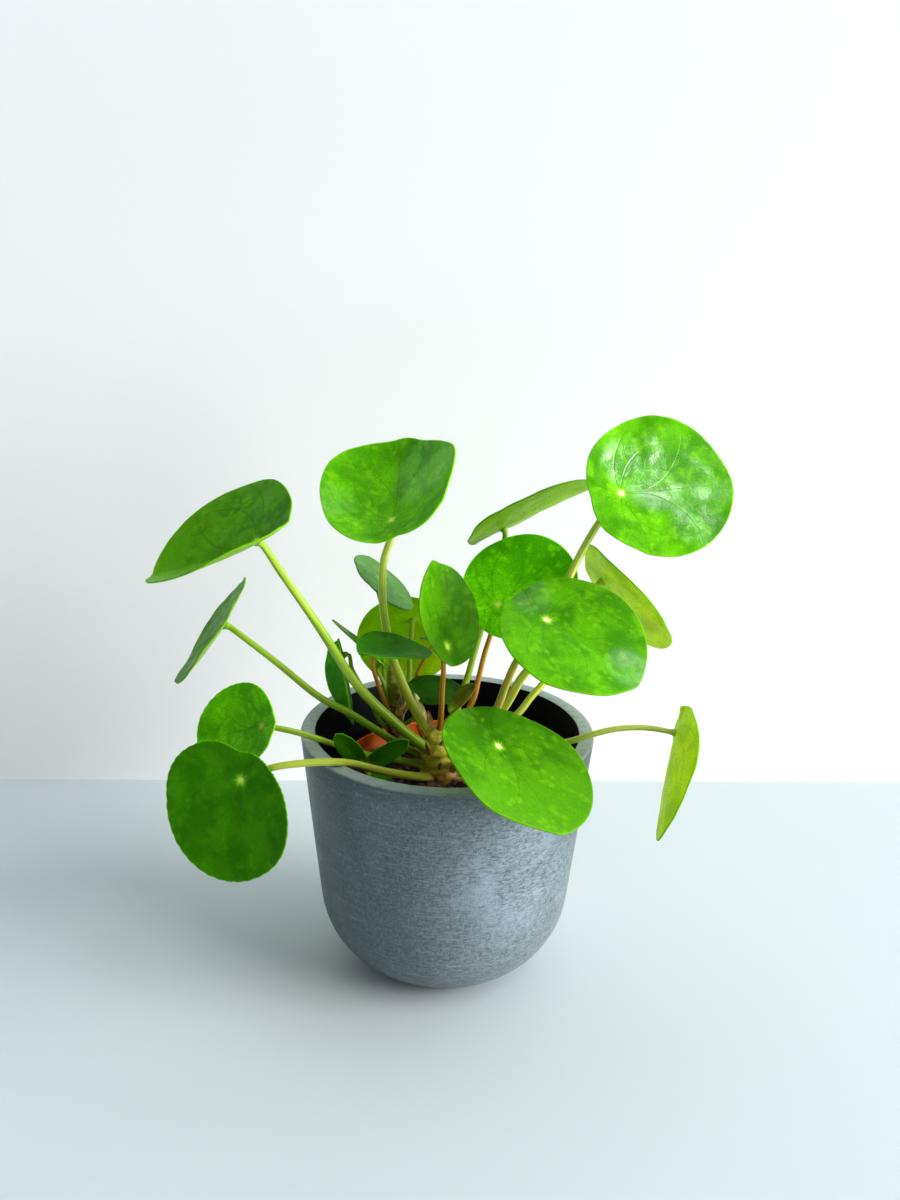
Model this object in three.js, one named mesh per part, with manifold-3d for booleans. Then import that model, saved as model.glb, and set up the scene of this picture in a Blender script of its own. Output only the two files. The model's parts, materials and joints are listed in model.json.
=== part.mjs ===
// A young pilea (round-leaved money plant) in a thin nursery pot, standing in a plain tapered cachepot.
// Millimetres, +Z up, -Y is the front. The origin is the middle of the cachepot's underside.
import * as THREE from "three";
import { mergeVertices } from "three/addons/utils/BufferGeometryUtils.js";
import Module from "manifold-3d";

const wasm = await Module();
wasm.setup();

const gap = 0.3; // clearance between neighbouring pieces
const rad = THREE.MathUtils.degToRad;
const point = (p) => new THREE.Vector3(...p);

// ---- driving dimensions ----

// The wall leans outwards from a large bottom rounding, whose centre is a circle of this radius and height.
const cachepot = {
  radius: 75,
  height: 131,
  wall: 7.6,
  floor: 8,
  lip: 1.5, // edge rounding of the rim
  rounding: 48.4,
  centreRadius: 16.9,
  centreHeight: 45.4,
  sides: 56,
};

const nursery = {
  rimRadius: 54.5,
  rimTop: 112,
  rimHeight: 8,
  rimStep: 2,
  wall: 1.2,
  baseRadius: 38,
  drains: 6, // round drain holes in the base
  drainRadius: 4.5,
  drainCircle: 25,
  sides: 48,
};

const soil = { top: 104, lumps: 1, spokes: 36, rings: [0.94, 0.8, 0.64, 0.48, 0.32, 0.16] };

const blade = { thickness: 1 };

const stalk = { sides: 6, steps: 10, collar: 2 }; // collar: straight run square to the blade

// Each shoot: the middle line of its woody stem from inside the soil to its top, and the radii along it.
const shoots = [
  {
    name: "crown",
    colour: 0x9a7a35,
    line: [[-2, 1, 93], [-3, 0, 105], [-5, 0, 115], [-6, 2, 124], [-5.5, 3, 131]],
    radii: [8, 9.5, 9.5, 7.5, 3.5],
    scales: 7, // dry papery stipules on the stem
    scaleLength: 9,
  },
  {
    name: "side_shoot",
    colour: 0x7d5a30,
    line: [[-27, 27, 93], [-27, 27, 104], [-28, 26, 118], [-28, 25, 132], [-29, 24, 145], [-30, 23, 157]],
    radii: [4.5, 5, 4, 3.4, 2.8, 2],
    scales: 5,
    scaleLength: 7,
  },
];

// Leaves in the order in which their stalks leave the crown, thick old ones first.
//   at: where the stalk meets the blade
//   faces: way the upper face looks, degrees from the front, + to the right
//   rises: angle of that way above level
//   tip: way the tip points, degrees from straight downhill
//   size: length and width
//   seat: how far along the blade the stalk is fixed, from its base
//   fold: how far each half is lifted along the midrib, degrees
//   droop: bend from stalk to tip, degrees
//   dish: edge lifted (+) or dropped (-), share of the length
//   edge: bulges of the outline: angle from the tip, how far out, and how wide in degrees
//   thick: the stalk's radius at the crown and at the blade
//   route: the stalk's middle line, from the crown outwards
const leaves = [
  {
    name: "high_left", at: [-91, -30, 238], faces: -53, rises: 35, tip: -52, size: [87, 81], seat: 0.28,
    fold: [-5, 49], droop: -23, dish: 0, colour: 0x3f8f1c, thick: [2.9, 1.7],
    edge: [[-93, 0.8, 20], [-27, -1, 20]],
    route: [[-5, -2, 116], [-24, -7, 134], [-44, -13, 157.5], [-63, -18, 190.5], [-81, -24, 221.5]],
  },
  {
    name: "high_middle", at: [-29, 0, 241], faces: -53, rises: 58, tip: 218, size: [66, 71], seat: 0.28,
    fold: [4, 20], droop: 0, dish: 0.098, colour: 0x46a01e, thick: [2.7, 1.7],
    edge: [[-3, 0.8, 7], [-50, 1.9, 12], [-78, -1.4, 15], [-115, 6.7, 28], [115, 2.1, 25], [45, 1.8, 25],
      [140, 1.9, 20], [-20, -2.2, 12]],
    route: [
      [-6, 2, 120], [-14, 4, 133.5], [-19.5, 6, 143.5], [-28.5, 9, 164.5],
      [-32, 10.5, 180], [-34, 10, 196.5], [-33.5, 8, 217],
    ],
  },
  {
    name: "high_right", at: [81, -5, 258], faces: 20, rises: 40, tip: 88, size: [73, 73], seat: 0.24,
    fold: [-4, 8], droop: 0, dish: 0.04, colour: 0x4caf22, thick: [2.6, 1.7],
    edge: [[0, 1.7, 12], [-60, -1.9, 25], [60, 1, 25], [120, 1.9, 30], [-90, -2.1, 20], [180, -0.9, 30]],
    route: [
      [2, 4, 112], [27.5, 2, 140.5], [36.5, 0, 158.5], [42, -2, 168],
      [50, -6, 190.5], [58, -6, 215], [69, -2, 238],
    ],
  },
  {
    name: "middle_right", at: [46, -34, 203], faces: 32, rises: 67, tip: 28, size: [72, 74], seat: 0.28,
    fold: [5, 18], droop: 0, dish: -0.042, colour: 0x4cb020, thick: [2.4, 1.6],
    edge: [[0, 0.9, 8], [-40, -1.2, 16], [-80, 2, 26], [100, 1.2, 30], [180, 0.6, 40]],
    route: [[2, 0, 108], [24, -6, 143.5], [29, -10, 160], [33.5, -15, 174.5]],
  },
  {
    name: "front", at: [24, -60, 149], faces: 60, rises: 60, tip: -19, size: [77, 79], seat: 0.3,
    fold: [6, 4], droop: 5, dish: 0.019, colour: 0x55bb22, thick: [2.4, 1.6],
    edge: [[-2, 1.2, 7], [-22, -2.4, 18], [-52, 2.2, 14], [-80, 1, 30], [180, 2.2, 30], [-120, 1, 30]],
    route: [[2, -3, 108], [10, -22, 128], [17, -44, 140]],
  },
  {
    name: "low_left_front", at: [-99, -48, 123], faces: -20, rises: 8, tip: -12, size: [71, 61], seat: 0.27,
    fold: [2, 6], droop: 0, dish: 0.02, colour: 0x2f8a1c, thick: [2.3, 1.6],
    edge: [[-85, 7.3, 35], [-40, 2.7, 25], [50, 3.1, 25], [110, -2.7, 25], [155, -3, 30], [-165, -4.5, 25]],
    route: [
      [-4, -3, 106.5], [-39.5, -39, 128], [-46.5, -45.5, 132.5],
      [-54, -48.5, 133.5], [-66, -50, 133.5], [-82, -50.5, 131.5],
    ],
  },
  {
    name: "left_edge", at: [-113, 0, 185], faces: -80, rises: 24, tip: -43, size: [61, 65], seat: 0.32,
    fold: [-10, 17], droop: -10, dish: 0.017, colour: 0x3f9a1c, thick: [2.2, 1.5],
    route: [
      [-5, 3, 110], [-24, 1, 120.5], [-50, -1, 138.5],
      [-65, -2, 147.5], [-85, -3, 165], [-104.5, -2, 180.5],
    ],
  },
  {
    name: "low_left_rear", at: [-91, -28, 143], faces: -49, rises: 24, tip: -59, size: [53, 50], seat: 0.21,
    fold: [3, 10], droop: -10, dish: 0.037, colour: 0x3a961c, thick: [2, 1.4],
    edge: [[-125, -2, 30], [90, -3.1, 25], [165, -0.8, 30], [-60, -1, 25]],
    route: [
      [-6, 0, 107], [-24, -2, 113.5], [-39.5, -5, 117], [-50.5, -9, 122],
      [-57.5, -15, 127.5], [-64, -22, 133.5], [-72.5, -25.5, 138], [-80, -26, 140],
    ],
  },
  {
    name: "far_right", at: [113, -25, 142], faces: 78, rises: -8, tip: -39, size: [64, 65], seat: 0.21,
    fold: [13, -4], droop: 15, dish: 0.055, colour: 0x6cc022, thick: [2, 1.3],
    edge: [[0, 1.5, 12]],
    route: [
      [2, 0, 107], [42, -14, 126], [62.5, -22, 135.5],
      [70.5, -25, 140], [82.5, -26, 144], [97, -26, 145],
    ],
  },
  {
    name: "right_rear", at: [80, 40, 199], faces: 113, rises: 24, tip: -53, size: [68, 67], seat: 0.29,
    fold: [-9, 1], droop: -7, dish: 0.048, colour: 0x6fc030, thick: [2.1, 1.5],
    edge: [[0, 1, 12], [110, 1, 25]],
    route: [[2, 6, 109], [36, 8, 136], [43, 11, 144.5], [50, 15, 152], [64, 29, 172]],
  },
  {
    name: "centre_rear", at: [25, 22, 191], faces: -14, rises: 42, tip: 139, size: [62, 58], seat: 0.27,
    fold: [3, 6], droop: 0, dish: 0.009, colour: 0x4cae24, thick: [1.7, 1.2],
    edge: [[40, -1.5, 20], [-90, 0.9, 25], [-140, -0.9, 25], [180, -2.1, 25]],
    route: [[-2, 6, 118], [9.5, 12, 134.5], [13.5, 15, 142], [15.5, 18, 150.5], [18.5, 21.5, 163.5]],
  },
  {
    name: "high_rear", at: [27, 50, 224], faces: -130, rises: 55, tip: -148, size: [73, 67], seat: 0.27,
    fold: [7, 3], droop: 9, dish: 0.023, colour: 0x7aa84a, thick: [2, 1.4],
    edge: [[0, 2, 14]],
    route: [
      [-1, 8, 112], [4, 20, 129.5], [6.5, 28, 135], [8, 31, 139.5],
      [10, 34, 145], [14, 39.5, 159], [17.5, 43, 171.5], [23, 48, 195],
    ],
  },
  {
    name: "centre_cupped", at: [-1, -14, 181], faces: 62, rises: 31, tip: 158, size: [51, 47], seat: 0.2,
    fold: [10, 5], droop: 0, dish: 0.06, colour: 0x3f9f1e, thick: [1.6, 1.2],
    edge: [[11, 2, 6], [38, -2.7, 16], [109, -2.9, 22], [-55, -0.7, 30]],
    route: [[-5, 3, 124], [-3.5, -2, 136.5], [-3, -8, 155.5], [-2.5, -12, 170.5]],
  },
  {
    name: "rear_round", at: [-20, 48, 172], faces: -177, rises: 15, tip: 12, size: [56, 54], seat: 0.26,
    fold: [2, 2], droop: 4, dish: 0, colour: 0x7cc63a, thick: [1.7, 1.2],
    edge: [[0, 1, 14], [-90, 1, 25]],
    route: [[-27, 29, 112], [-24.5, 35, 124], [-23, 38, 133], [-21, 41, 143.5], [-21, 43.5, 154]],
  },
  {
    name: "small_grey", at: [-36, 31, 200], faces: 83, rises: 50, tip: -9, size: [40, 36], seat: 0.45,
    fold: [1, 1], droop: 0, dish: 0, colour: 0x7fa777, thick: [1.3, 1],
    route: [[-28, 28, 114], [-32.5, 29, 129], [-34, 31, 138.5], [-34.5, 32, 152.5], [-35, 31, 182]],
  },
  {
    name: "boat", at: [-37, -14, 177], faces: 110, rises: 80, tip: 12, size: [39, 33], seat: 0.22,
    fold: [10, 22], droop: 0, dish: 0, colour: 0x2f7a1c, thick: [1.3, 1],
    edge: [[0, 3, 13], [30, -1, 18], [-30, -1, 18]],
    route: [[-28, 24, 116], [-31.5, 15, 134], [-35, 7, 148.5], [-38, -7, 167.5]],
  },
  {
    name: "left_folded", at: [-55, 20, 162], faces: -80, rises: -12, tip: 6, size: [44, 36], seat: 0.18,
    fold: [40, 8], droop: -8, dish: 0, colour: 0x34861c, thick: [1.4, 1],
    edge: [[180, 1.5, 20], [0, 1.5, 15]],
    route: [[-28, 25, 116], [-35.5, 24, 123], [-40, 23, 133], [-46, 22, 145], [-50.5, 21, 154.5]],
  },
  {
    name: "narrow_left", at: [-35.5, 18.5, 159], faces: 106, rises: 47, tip: 162, size: [38, 20], seat: 0.12,
    fold: [4, 4], droop: 0, dish: 0, colour: 0x5a9a2a, thick: [1.2, 0.9],
    route: [[-28, 25, 118], [-31.5, 22, 132], [-33.5, 20, 146]],
  },
  {
    name: "small_middle", at: [-9, 22, 172], faces: -137, rises: 76, tip: -175, size: [22, 18], seat: 0.27,
    fold: [10, 10], droop: 0, dish: 0, colour: 0x7fa777, thick: [1.2, 0.9],
    route: [[-28, 26, 122], [-22, 31, 128.5], [-18.5, 32.5, 138], [-16, 29, 151]],
  },
  {
    name: "inner_dark", at: [-13.5, 17, 145], faces: 25, rises: 75, tip: 64, size: [30, 26], seat: 0.27,
    fold: [4, 4], droop: 0, dish: 0, colour: 0x1f6a16, thick: [1.3, 1],
    edge: [[0, 2.5, 15], [180, 2.5, 20], [40, -1, 20], [-40, -1, 20]],
    route: [[-28, 25, 118], [-16.5, 20, 129]],
  },
  {
    name: "youngest", at: [2, -0.5, 141.5], faces: -39, rises: 37, tip: 155, size: [20, 10], seat: 0.1,
    fold: [30, 30], droop: 0, dish: 0, colour: 0x7a8a22, thick: [1, 0.8],
    route: [[-5, 3, 124], [-1, 1.5, 134]],
  },
];

// A plantlet beside the crown: small narrow leaves fixed near their base, on one short stem.
const plantlet = {
  colour: 0x4f8f2a,
  line: [[-39, -13, 97], [-39, -13, 105], [-40, -13, 111], [-42, -13, 116.5]],
  radii: [1.7, 1.7, 1.5, 1],
  seat: 0.06,
  leaves: [
    { at: [-43, -13, 116.5], faces: 17, rises: -14, tip: -145, size: [27, 11], fold: [12, 12] },
    { at: [-40.5, -13, 115.5], faces: -10, rises: 0, tip: 126, size: [29, 10], fold: [14, 14] },
    { at: [-39.5, -13.5, 111], faces: -8, rises: 50, tip: 84, size: [13, 6], fold: [10, 10] },
    { at: [-42, -12.5, 116], faces: 16, rises: 34, tip: -151, size: [10, 5], fold: [10, 10] },
  ],
};

// ---- solids ----

// A closed three.js geometry as a solid that can be cut and joined.
function solidOf(geometry) {
  const bare = geometry.clone();
  bare.deleteAttribute("normal");
  bare.deleteAttribute("uv");
  const merged = mergeVertices(bare, 1e-3);
  return new wasm.Manifold(
    new wasm.Mesh({
      numProp: 3,
      vertProperties: merged.attributes.position.array,
      triVerts: new Uint32Array(merged.index.array),
    }),
  );
}

// The largest body of a cut solid, back as a geometry.
function geometryOf(solid) {
  const [largest] = solid.decompose().sort((a, b) => b.volume() - a.volume());
  const { vertProperties, triVerts } = largest.getMesh();
  const geometry = new THREE.BufferGeometry();
  geometry.setAttribute("position", new THREE.BufferAttribute(vertProperties, 3));
  geometry.setIndex(new THREE.BufferAttribute(triVerts, 1));
  geometry.computeVertexNormals();
  return geometry;
}

function indexed(points, triangles) {
  const geometry = new THREE.BufferGeometry().setFromPoints(points);
  geometry.setIndex(triangles);
  geometry.computeVertexNormals();
  return geometry;
}

function turned(profile, sides) {
  return new THREE.LatheGeometry(profile, sides).rotateX(Math.PI / 2);
}

// A stem: rings of points along a smooth line, with a radius for each share of it and angle round it.
function stem(line, steps, sides, radiusAt) {
  const curve = new THREE.CatmullRomCurve3(line.map(point), false, "centripetal");
  const frames = curve.computeFrenetFrames(steps, false);
  const points = [];
  const triangles = [];
  for (let i = 0; i <= steps; i++) {
    const middle = curve.getPointAt(i / steps);
    for (let j = 0; j < sides; j++) {
      const angle = (2 * Math.PI * j) / sides;
      const r = radiusAt(i / steps, angle);
      const side = frames.normals[i].clone().multiplyScalar(r * Math.cos(angle));
      const across = frames.binormals[i].clone().multiplyScalar(r * Math.sin(angle));
      points.push(middle.clone().add(side).add(across));
      if (i === steps) continue;
      const [a, b] = [i * sides + j, i * sides + ((j + 1) % sides)];
      triangles.push(a, b, b + sides, a, b + sides, a + sides);
    }
  }
  const last = steps * sides;
  points.push(curve.getPointAt(0), curve.getPointAt(1));
  for (let j = 0; j < sides; j++) {
    const next = (j + 1) % sides;
    triangles.push(points.length - 2, next, j, points.length - 1, last + j, last + next);
  }
  return indexed(points, triangles);
}

// A value that runs evenly through a short list.
function along(list, share) {
  const place = share * (list.length - 1);
  const i = Math.min(Math.floor(place), list.length - 2);
  return THREE.MathUtils.lerp(list[i], list[i + 1], place - i);
}

// ---- pots and soil ----

function cachepotGeometry() {
  const { radius, height, wall, floor, lip, rounding, centreRadius, centreHeight } = cachepot;
  const [out, up] = [radius - centreRadius, height - centreHeight];
  const lean = Math.acos(rounding / Math.hypot(out, up)) - Math.atan2(up, out);
  const arc = (inset, level) => {
    const r = rounding - inset;
    const lowest = Math.asin((centreHeight - level) / r);
    return Array.from({ length: 8 }, (_, i) => {
      const angle = THREE.MathUtils.lerp(lowest, lean, i / 7);
      return new THREE.Vector2(centreRadius + r * Math.cos(angle), centreHeight - r * Math.sin(angle));
    });
  };
  const rim = (inset, drop) => radius - inset / Math.cos(lean) - drop * Math.tan(lean);
  return turned([
    new THREE.Vector2(0, 0),
    ...arc(0, 0),
    new THREE.Vector2(rim(0, lip), height - lip),
    new THREE.Vector2(rim(0, 0) - 0.3 * lip, height - 0.3 * lip),
    new THREE.Vector2(rim(0, 0) - lip, height),
    new THREE.Vector2(rim(wall, 0) + lip, height),
    new THREE.Vector2(rim(wall, 0) + 0.3 * lip, height - 0.3 * lip),
    new THREE.Vector2(rim(wall, lip), height - lip),
    ...arc(wall, floor).reverse(),
    new THREE.Vector2(0, floor),
  ], cachepot.sides);
}

// The nursery pot stands on the bottom rounding inside the cachepot.
function nurseryBase() {
  const { rounding, wall, centreRadius, centreHeight } = cachepot;
  const clear = rounding - wall - 2 * gap;
  return centreHeight - Math.sqrt(clear ** 2 - (nursery.baseRadius - centreRadius) ** 2);
}

function nurseryGeometry() {
  const { rimRadius, rimTop, rimHeight, rimStep, wall, baseRadius } = nursery;
  const { drains, drainRadius, drainCircle } = nursery;
  const base = nurseryBase();
  const neck = rimTop - rimHeight;
  const pot = solidOf(turned([
    new THREE.Vector2(0, base),
    new THREE.Vector2(baseRadius, base),
    new THREE.Vector2(rimRadius - rimStep, neck),
    new THREE.Vector2(rimRadius, neck),
    new THREE.Vector2(rimRadius, rimTop),
    new THREE.Vector2(rimRadius - wall, rimTop),
    new THREE.Vector2(rimRadius - wall, neck + wall),
    new THREE.Vector2(rimRadius - rimStep - wall, neck + wall),
    new THREE.Vector2(baseRadius - wall, base + wall),
    new THREE.Vector2(0, base + wall),
  ], nursery.sides));
  const holes = Array.from({ length: drains }, (_, i) => {
    const angle = (2 * Math.PI * i) / drains;
    const hole = new THREE.CylinderGeometry(drainRadius, drainRadius, 4 * wall, 10).rotateX(Math.PI / 2);
    hole.translate(drainCircle * Math.cos(angle), drainCircle * Math.sin(angle), base + wall / 2);
    return solidOf(hole);
  });
  return geometryOf(holes.reduce((left, hole) => left.subtract(hole), pot));
}

// Soil fills the nursery pot to just under its rim, with a lumpy top.
function soilGeometry(cuts) {
  const { rimRadius, rimTop, rimHeight, rimStep, wall, baseRadius } = nursery;
  const base = nurseryBase() + wall + gap;
  const shoulder = rimTop - rimHeight - gap;
  const top = soil.top - soil.lumps;
  const wide = rimRadius - rimStep - wall - 2 * gap;
  const lump = (x, y) =>
    soil.lumps * (Math.sin(0.31 * x + 1.7) * Math.cos(0.27 * y + 0.4) + 0.6 * Math.sin(0.63 * y + 0.5 * x));
  const rows = [
    [baseRadius - wall - 2 * gap, () => base],
    [wide, () => Math.min(shoulder, top) - 1],
    ...soil.rings.map((share) => [wide * share, (x, y) => soil.top + lump(x, y)]),
  ];
  const points = [new THREE.Vector3(0, 0, base)];
  const triangles = [];
  const n = soil.spokes;
  rows.forEach(([radius, level], row) => {
    for (let j = 0; j < n; j++) {
      const angle = (2 * Math.PI * j) / n;
      const [x, y] = [radius * Math.cos(angle), radius * Math.sin(angle)];
      points.push(new THREE.Vector3(x, y, level(x, y)));
      const [a, b] = [1 + row * n + j, 1 + row * n + ((j + 1) % n)];
      if (row === 0) triangles.push(0, b, a);
      if (row < rows.length - 1) triangles.push(a, b, b + n, a, b + n, a + n);
      else triangles.push(a, b, 1 + rows.length * n);
    }
  });
  points.push(new THREE.Vector3(0, 0, soil.top + lump(0, 0)));
  return geometryOf(cuts.reduce((left, cut) => left.subtract(cut), solidOf(indexed(points, triangles))));
}

// ---- shoots ----

// A knobbly stem ringed with leaf scars, with dry scales standing off it.
function shootSolid(shoot, grow) {
  const knobs = (share, angle) => 1 + 0.07 * Math.sin(3 * angle + 19 * share) + 0.05 * Math.cos(31 * share);
  const radiusAt = (share, angle) => along(shoot.radii, share) * knobs(share, angle) + grow;
  const line = shoot.line.map(point);
  const curve = new THREE.CatmullRomCurve3(line, false, "centripetal");
  const scales = Array.from({ length: shoot.scales }, (_, i) => {
    const share = 0.45 + (0.5 * (i + 0.5)) / shoot.scales;
    const angle = 2.4 * i;
    const radius = along(shoot.radii, share);
    const scale = new THREE.ConeGeometry(2.2 + grow, shoot.scaleLength + 2 * grow, 5);
    scale.translate(0, 0.35 * shoot.scaleLength, 0).scale(1, 1, 0.45 + 0.3 * grow);
    scale.rotateX(Math.PI / 2 - 0.45).translate(0, -radius + 0.6, 0).rotateZ(angle);
    const at = curve.getPointAt(share);
    return solidOf(scale.translate(at.x, at.y, at.z));
  });
  const trunk = solidOf(stem(shoot.line, 10, 10, radiusAt));
  return scales.reduce((whole, scale) => whole.add(scale), trunk);
}

// ---- leaves ----

// Distance from the stalk's seat to the edge, at an angle from the tip: an egg shape, drawn off its centre.
function reach(leaf, angle) {
  const { seat, size: [length, width] } = leaf;
  const [a, b, off] = [length / 2, width / 2, length * (0.5 - seat)];
  const [c, s] = [Math.cos(angle), Math.sin(angle)];
  const [p, q, r] = [(c / a) ** 2 + (s / b) ** 2, (-off * c) / a ** 2, (off / a) ** 2 - 1];
  return (leaf.edge ?? []).reduce((far, [turn, out, spread]) => {
    const apart = THREE.MathUtils.euclideanModulo(angle - rad(turn) + Math.PI, 2 * Math.PI) - Math.PI;
    return far + out * Math.exp(-((apart / rad(spread)) ** 2));
  }, (-q + Math.sqrt(q ** 2 - p * r)) / p);
}

// A point of the blade's middle surface: seat at the origin, tip along +X, upper face along +Z.
function bladePoint(leaf, angle, share) {
  const { seat, size: [length] } = leaf;
  const far = share * reach(leaf, angle);
  const [x, y] = [far * Math.cos(angle), far * Math.sin(angle)];
  const fold = rad(leaf.fold[y < 0 ? 0 : 1]);
  const crease = Math.hypot(y, 0.04 * length) - 0.04 * length; // the fold is rounded at the midrib
  const wave = 0.008 * length * share ** 2 * Math.sin(5 * angle + length);
  const z = crease * Math.sin(fold) + (leaf.dish * 4 * far ** 2) / length + wave;
  if (!leaf.droop) return new THREE.Vector3(x, y * Math.cos(fold), z);
  const bend = ((1 - seat) * length) / rad(leaf.droop);
  return new THREE.Vector3(
    (bend + z) * Math.sin(x / bend),
    y * Math.cos(fold),
    (bend + z) * Math.cos(x / bend) - bend,
  );
}

// A thin blade of even thickness, with the same triangles on both faces.
function bladeGeometry(leaf, spokes, rings) {
  const middle = [new THREE.Vector3()];
  const upper = [];
  for (let i = 1; i <= rings; i++) {
    for (let j = 0; j < spokes; j++) {
      middle.push(bladePoint(leaf, (2 * Math.PI * j) / spokes, i / rings));
      const [a, b] = [1 + (i - 1) * spokes + j, 1 + (i - 1) * spokes + ((j + 1) % spokes)];
      if (i === 1) upper.push(0, a, b);
      if (i < rings) upper.push(a, a + spokes, b + spokes, a, b + spokes, b);
    }
  }
  const normals = indexed(middle, upper).attributes.normal;
  const half = middle.map((_, i) => new THREE.Vector3().fromBufferAttribute(normals, i));
  half.forEach((v) => v.multiplyScalar(blade.thickness / 2));
  const points = [
    ...middle.map((p, i) => p.clone().add(half[i])),
    ...middle.map((p, i) => p.clone().sub(half[i])),
  ];
  const count = middle.length;
  const edge = count - spokes;
  const triangles = [...upper];
  for (let i = 0; i < upper.length; i += 3) {
    triangles.push(upper[i] + count, upper[i + 2] + count, upper[i + 1] + count);
  }
  for (let j = 0; j < spokes; j++) {
    const [a, b] = [edge + j, edge + ((j + 1) % spokes)];
    triangles.push(a, a + count, b + count, a, b + count, b);
  }
  return indexed(points, triangles);
}

// How a blade stands: +X runs to the tip and +Z is the upper face.
function stance(leaf) {
  const [faces, rises, tip] = [leaf.faces, leaf.rises, leaf.tip].map(rad);
  const up = new THREE.Vector3(
    Math.sin(faces) * Math.cos(rises),
    -Math.cos(faces) * Math.cos(rises),
    Math.sin(rises),
  );
  const downhill = new THREE.Vector3(
    Math.sin(faces) * Math.sin(rises),
    -Math.cos(faces) * Math.sin(rises),
    -Math.cos(rises),
  );
  const forward = downhill.applyAxisAngle(up, tip);
  return { up, frame: new THREE.Matrix4().makeBasis(forward, up.clone().cross(forward), up) };
}

function stalkGeometry(leaf, grow) {
  const { up } = stance(leaf);
  const below = (distance) => point(leaf.at).addScaledVector(up, -distance).toArray();
  const end = blade.thickness / 2 + gap + 0.2;
  const line = [...leaf.route, below(end + stalk.collar), below(end)];
  const steps = stalk.steps + leaf.route.length - 3;
  return stem(line, steps, stalk.sides, (share) => along(leaf.thick, share) + grow);
}

function plantletSolid(grow) {
  const trunk = solidOf(stem(plantlet.line, 4, 6, (share) => along(plantlet.radii, share) + grow));
  if (grow) return trunk;
  return plantlet.leaves.reduce((whole, leaf) => {
    const geometry = bladeGeometry({ dish: 0, droop: 0, seat: plantlet.seat, ...leaf }, 10, 2);
    geometry.applyMatrix4(stance(leaf).frame).translate(...leaf.at);
    return whole.add(solidOf(geometry));
  }, trunk);
}

// ---- the plant in its pots ----

const group = new THREE.Group();

function place(name, geometry, colour, roughness) {
  const material = new THREE.MeshStandardMaterial({ color: colour, roughness, metalness: 0 });
  const mesh = new THREE.Mesh(geometry, material);
  mesh.name = name;
  group.add(mesh);
  return mesh;
}

const grownShoots = shoots.map((shoot) => shootSolid(shoot, gap));

place("cachepot", cachepotGeometry(), 0x5d6670, 0.75);
place("nursery_pot", nurseryGeometry(), 0xc4683e, 0.5);
place("soil", soilGeometry([...grownShoots, plantletSolid(gap)]), 0x3b2a20, 0.95);
shoots.forEach((shoot) => place(shoot.name, geometryOf(shootSolid(shoot, 0)), shoot.colour, 0.8));
place("plantlet", geometryOf(plantletSolid(0)), plantlet.colour, 0.5);

const taken = [...grownShoots];
for (const leaf of leaves) {
  const cut = taken.reduce((left, other) => left.subtract(other), solidOf(stalkGeometry(leaf, 0)));
  place(leaf.name + "_stalk", geometryOf(cut), 0xa8c060, 0.45);
  taken.push(solidOf(stalkGeometry(leaf, gap + 0.1)));

  const small = leaf.size[0] < 45;
  const geometry = bladeGeometry(leaf, small ? 18 : 28, small ? 2 : 3);
  const mesh = place(leaf.name + "_leaf", geometry, leaf.colour, 0.4);
  mesh.position.set(...leaf.at);
  mesh.quaternion.setFromRotationMatrix(stance(leaf).frame);
}

export default group;
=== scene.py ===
import json
import random
from math import acos, asin, atan2, cos, exp, hypot, pi, radians, sin, sqrt, tan

import bmesh
import bpy
from mathutils import Matrix, Vector, noise


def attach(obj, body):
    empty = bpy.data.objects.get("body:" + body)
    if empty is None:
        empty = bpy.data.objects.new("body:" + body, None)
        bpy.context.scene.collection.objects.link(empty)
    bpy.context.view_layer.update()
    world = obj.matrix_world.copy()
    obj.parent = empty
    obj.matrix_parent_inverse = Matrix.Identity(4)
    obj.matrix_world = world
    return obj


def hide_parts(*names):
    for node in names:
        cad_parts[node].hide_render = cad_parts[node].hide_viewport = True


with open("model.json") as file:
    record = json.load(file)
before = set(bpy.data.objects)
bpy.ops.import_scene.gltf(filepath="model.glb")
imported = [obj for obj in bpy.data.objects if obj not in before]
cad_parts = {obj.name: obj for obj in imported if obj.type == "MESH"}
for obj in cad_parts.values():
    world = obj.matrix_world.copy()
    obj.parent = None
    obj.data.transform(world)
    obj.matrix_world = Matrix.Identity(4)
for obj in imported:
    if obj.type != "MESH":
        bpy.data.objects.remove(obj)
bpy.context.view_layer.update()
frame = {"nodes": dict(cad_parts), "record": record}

random.seed(7)
mm = 0.001
print("frame loaded:", len(frame["nodes"]), "nodes")


# shorthands for building a finish out of nodes
def feed(m, socket, value):
    if isinstance(value, bpy.types.NodeSocket):
        m.node_tree.links.new(value, socket)
    else:
        socket.default_value = value


def node(m, kind, props=None, **inputs):
    made = m.node_tree.nodes.new("ShaderNode" + kind)
    for name, value in (props or {}).items():
        setattr(made, name, value)
    for name, value in inputs.items():
        feed(m, made.inputs[name.replace("_", " ")], value)
    return made


def calc(m, operation, *values):
    made = node(m, "Math", {"operation": operation})
    for socket, value in zip(made.inputs, values):
        feed(m, socket, value)
    return made.outputs[0]


def times(m, a, b):
    return calc(m, "MULTIPLY", a, b)


def between(m, value, low, high, toLow=0.0, toHigh=1.0):  # smooth step from low to high
    made = node(m, "MapRange", {"interpolation_type": "SMOOTHSTEP"}, Value=value)
    for socket, number in zip(list(made.inputs)[1:5], (low, high, toLow, toHigh)):
        feed(m, socket, number)
    return made.outputs[0]


def blend(m, factor, a, b, kind="MIX"):
    made = node(m, "Mix", {"data_type": "RGBA", "blend_type": kind})
    feed(m, made.inputs[0], factor)
    for socket, value in ((made.inputs[6], a), (made.inputs[7], b)):
        feed(m, socket, value if isinstance(value, bpy.types.NodeSocket) else (*value, 1))
    return made.outputs[2]


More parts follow.
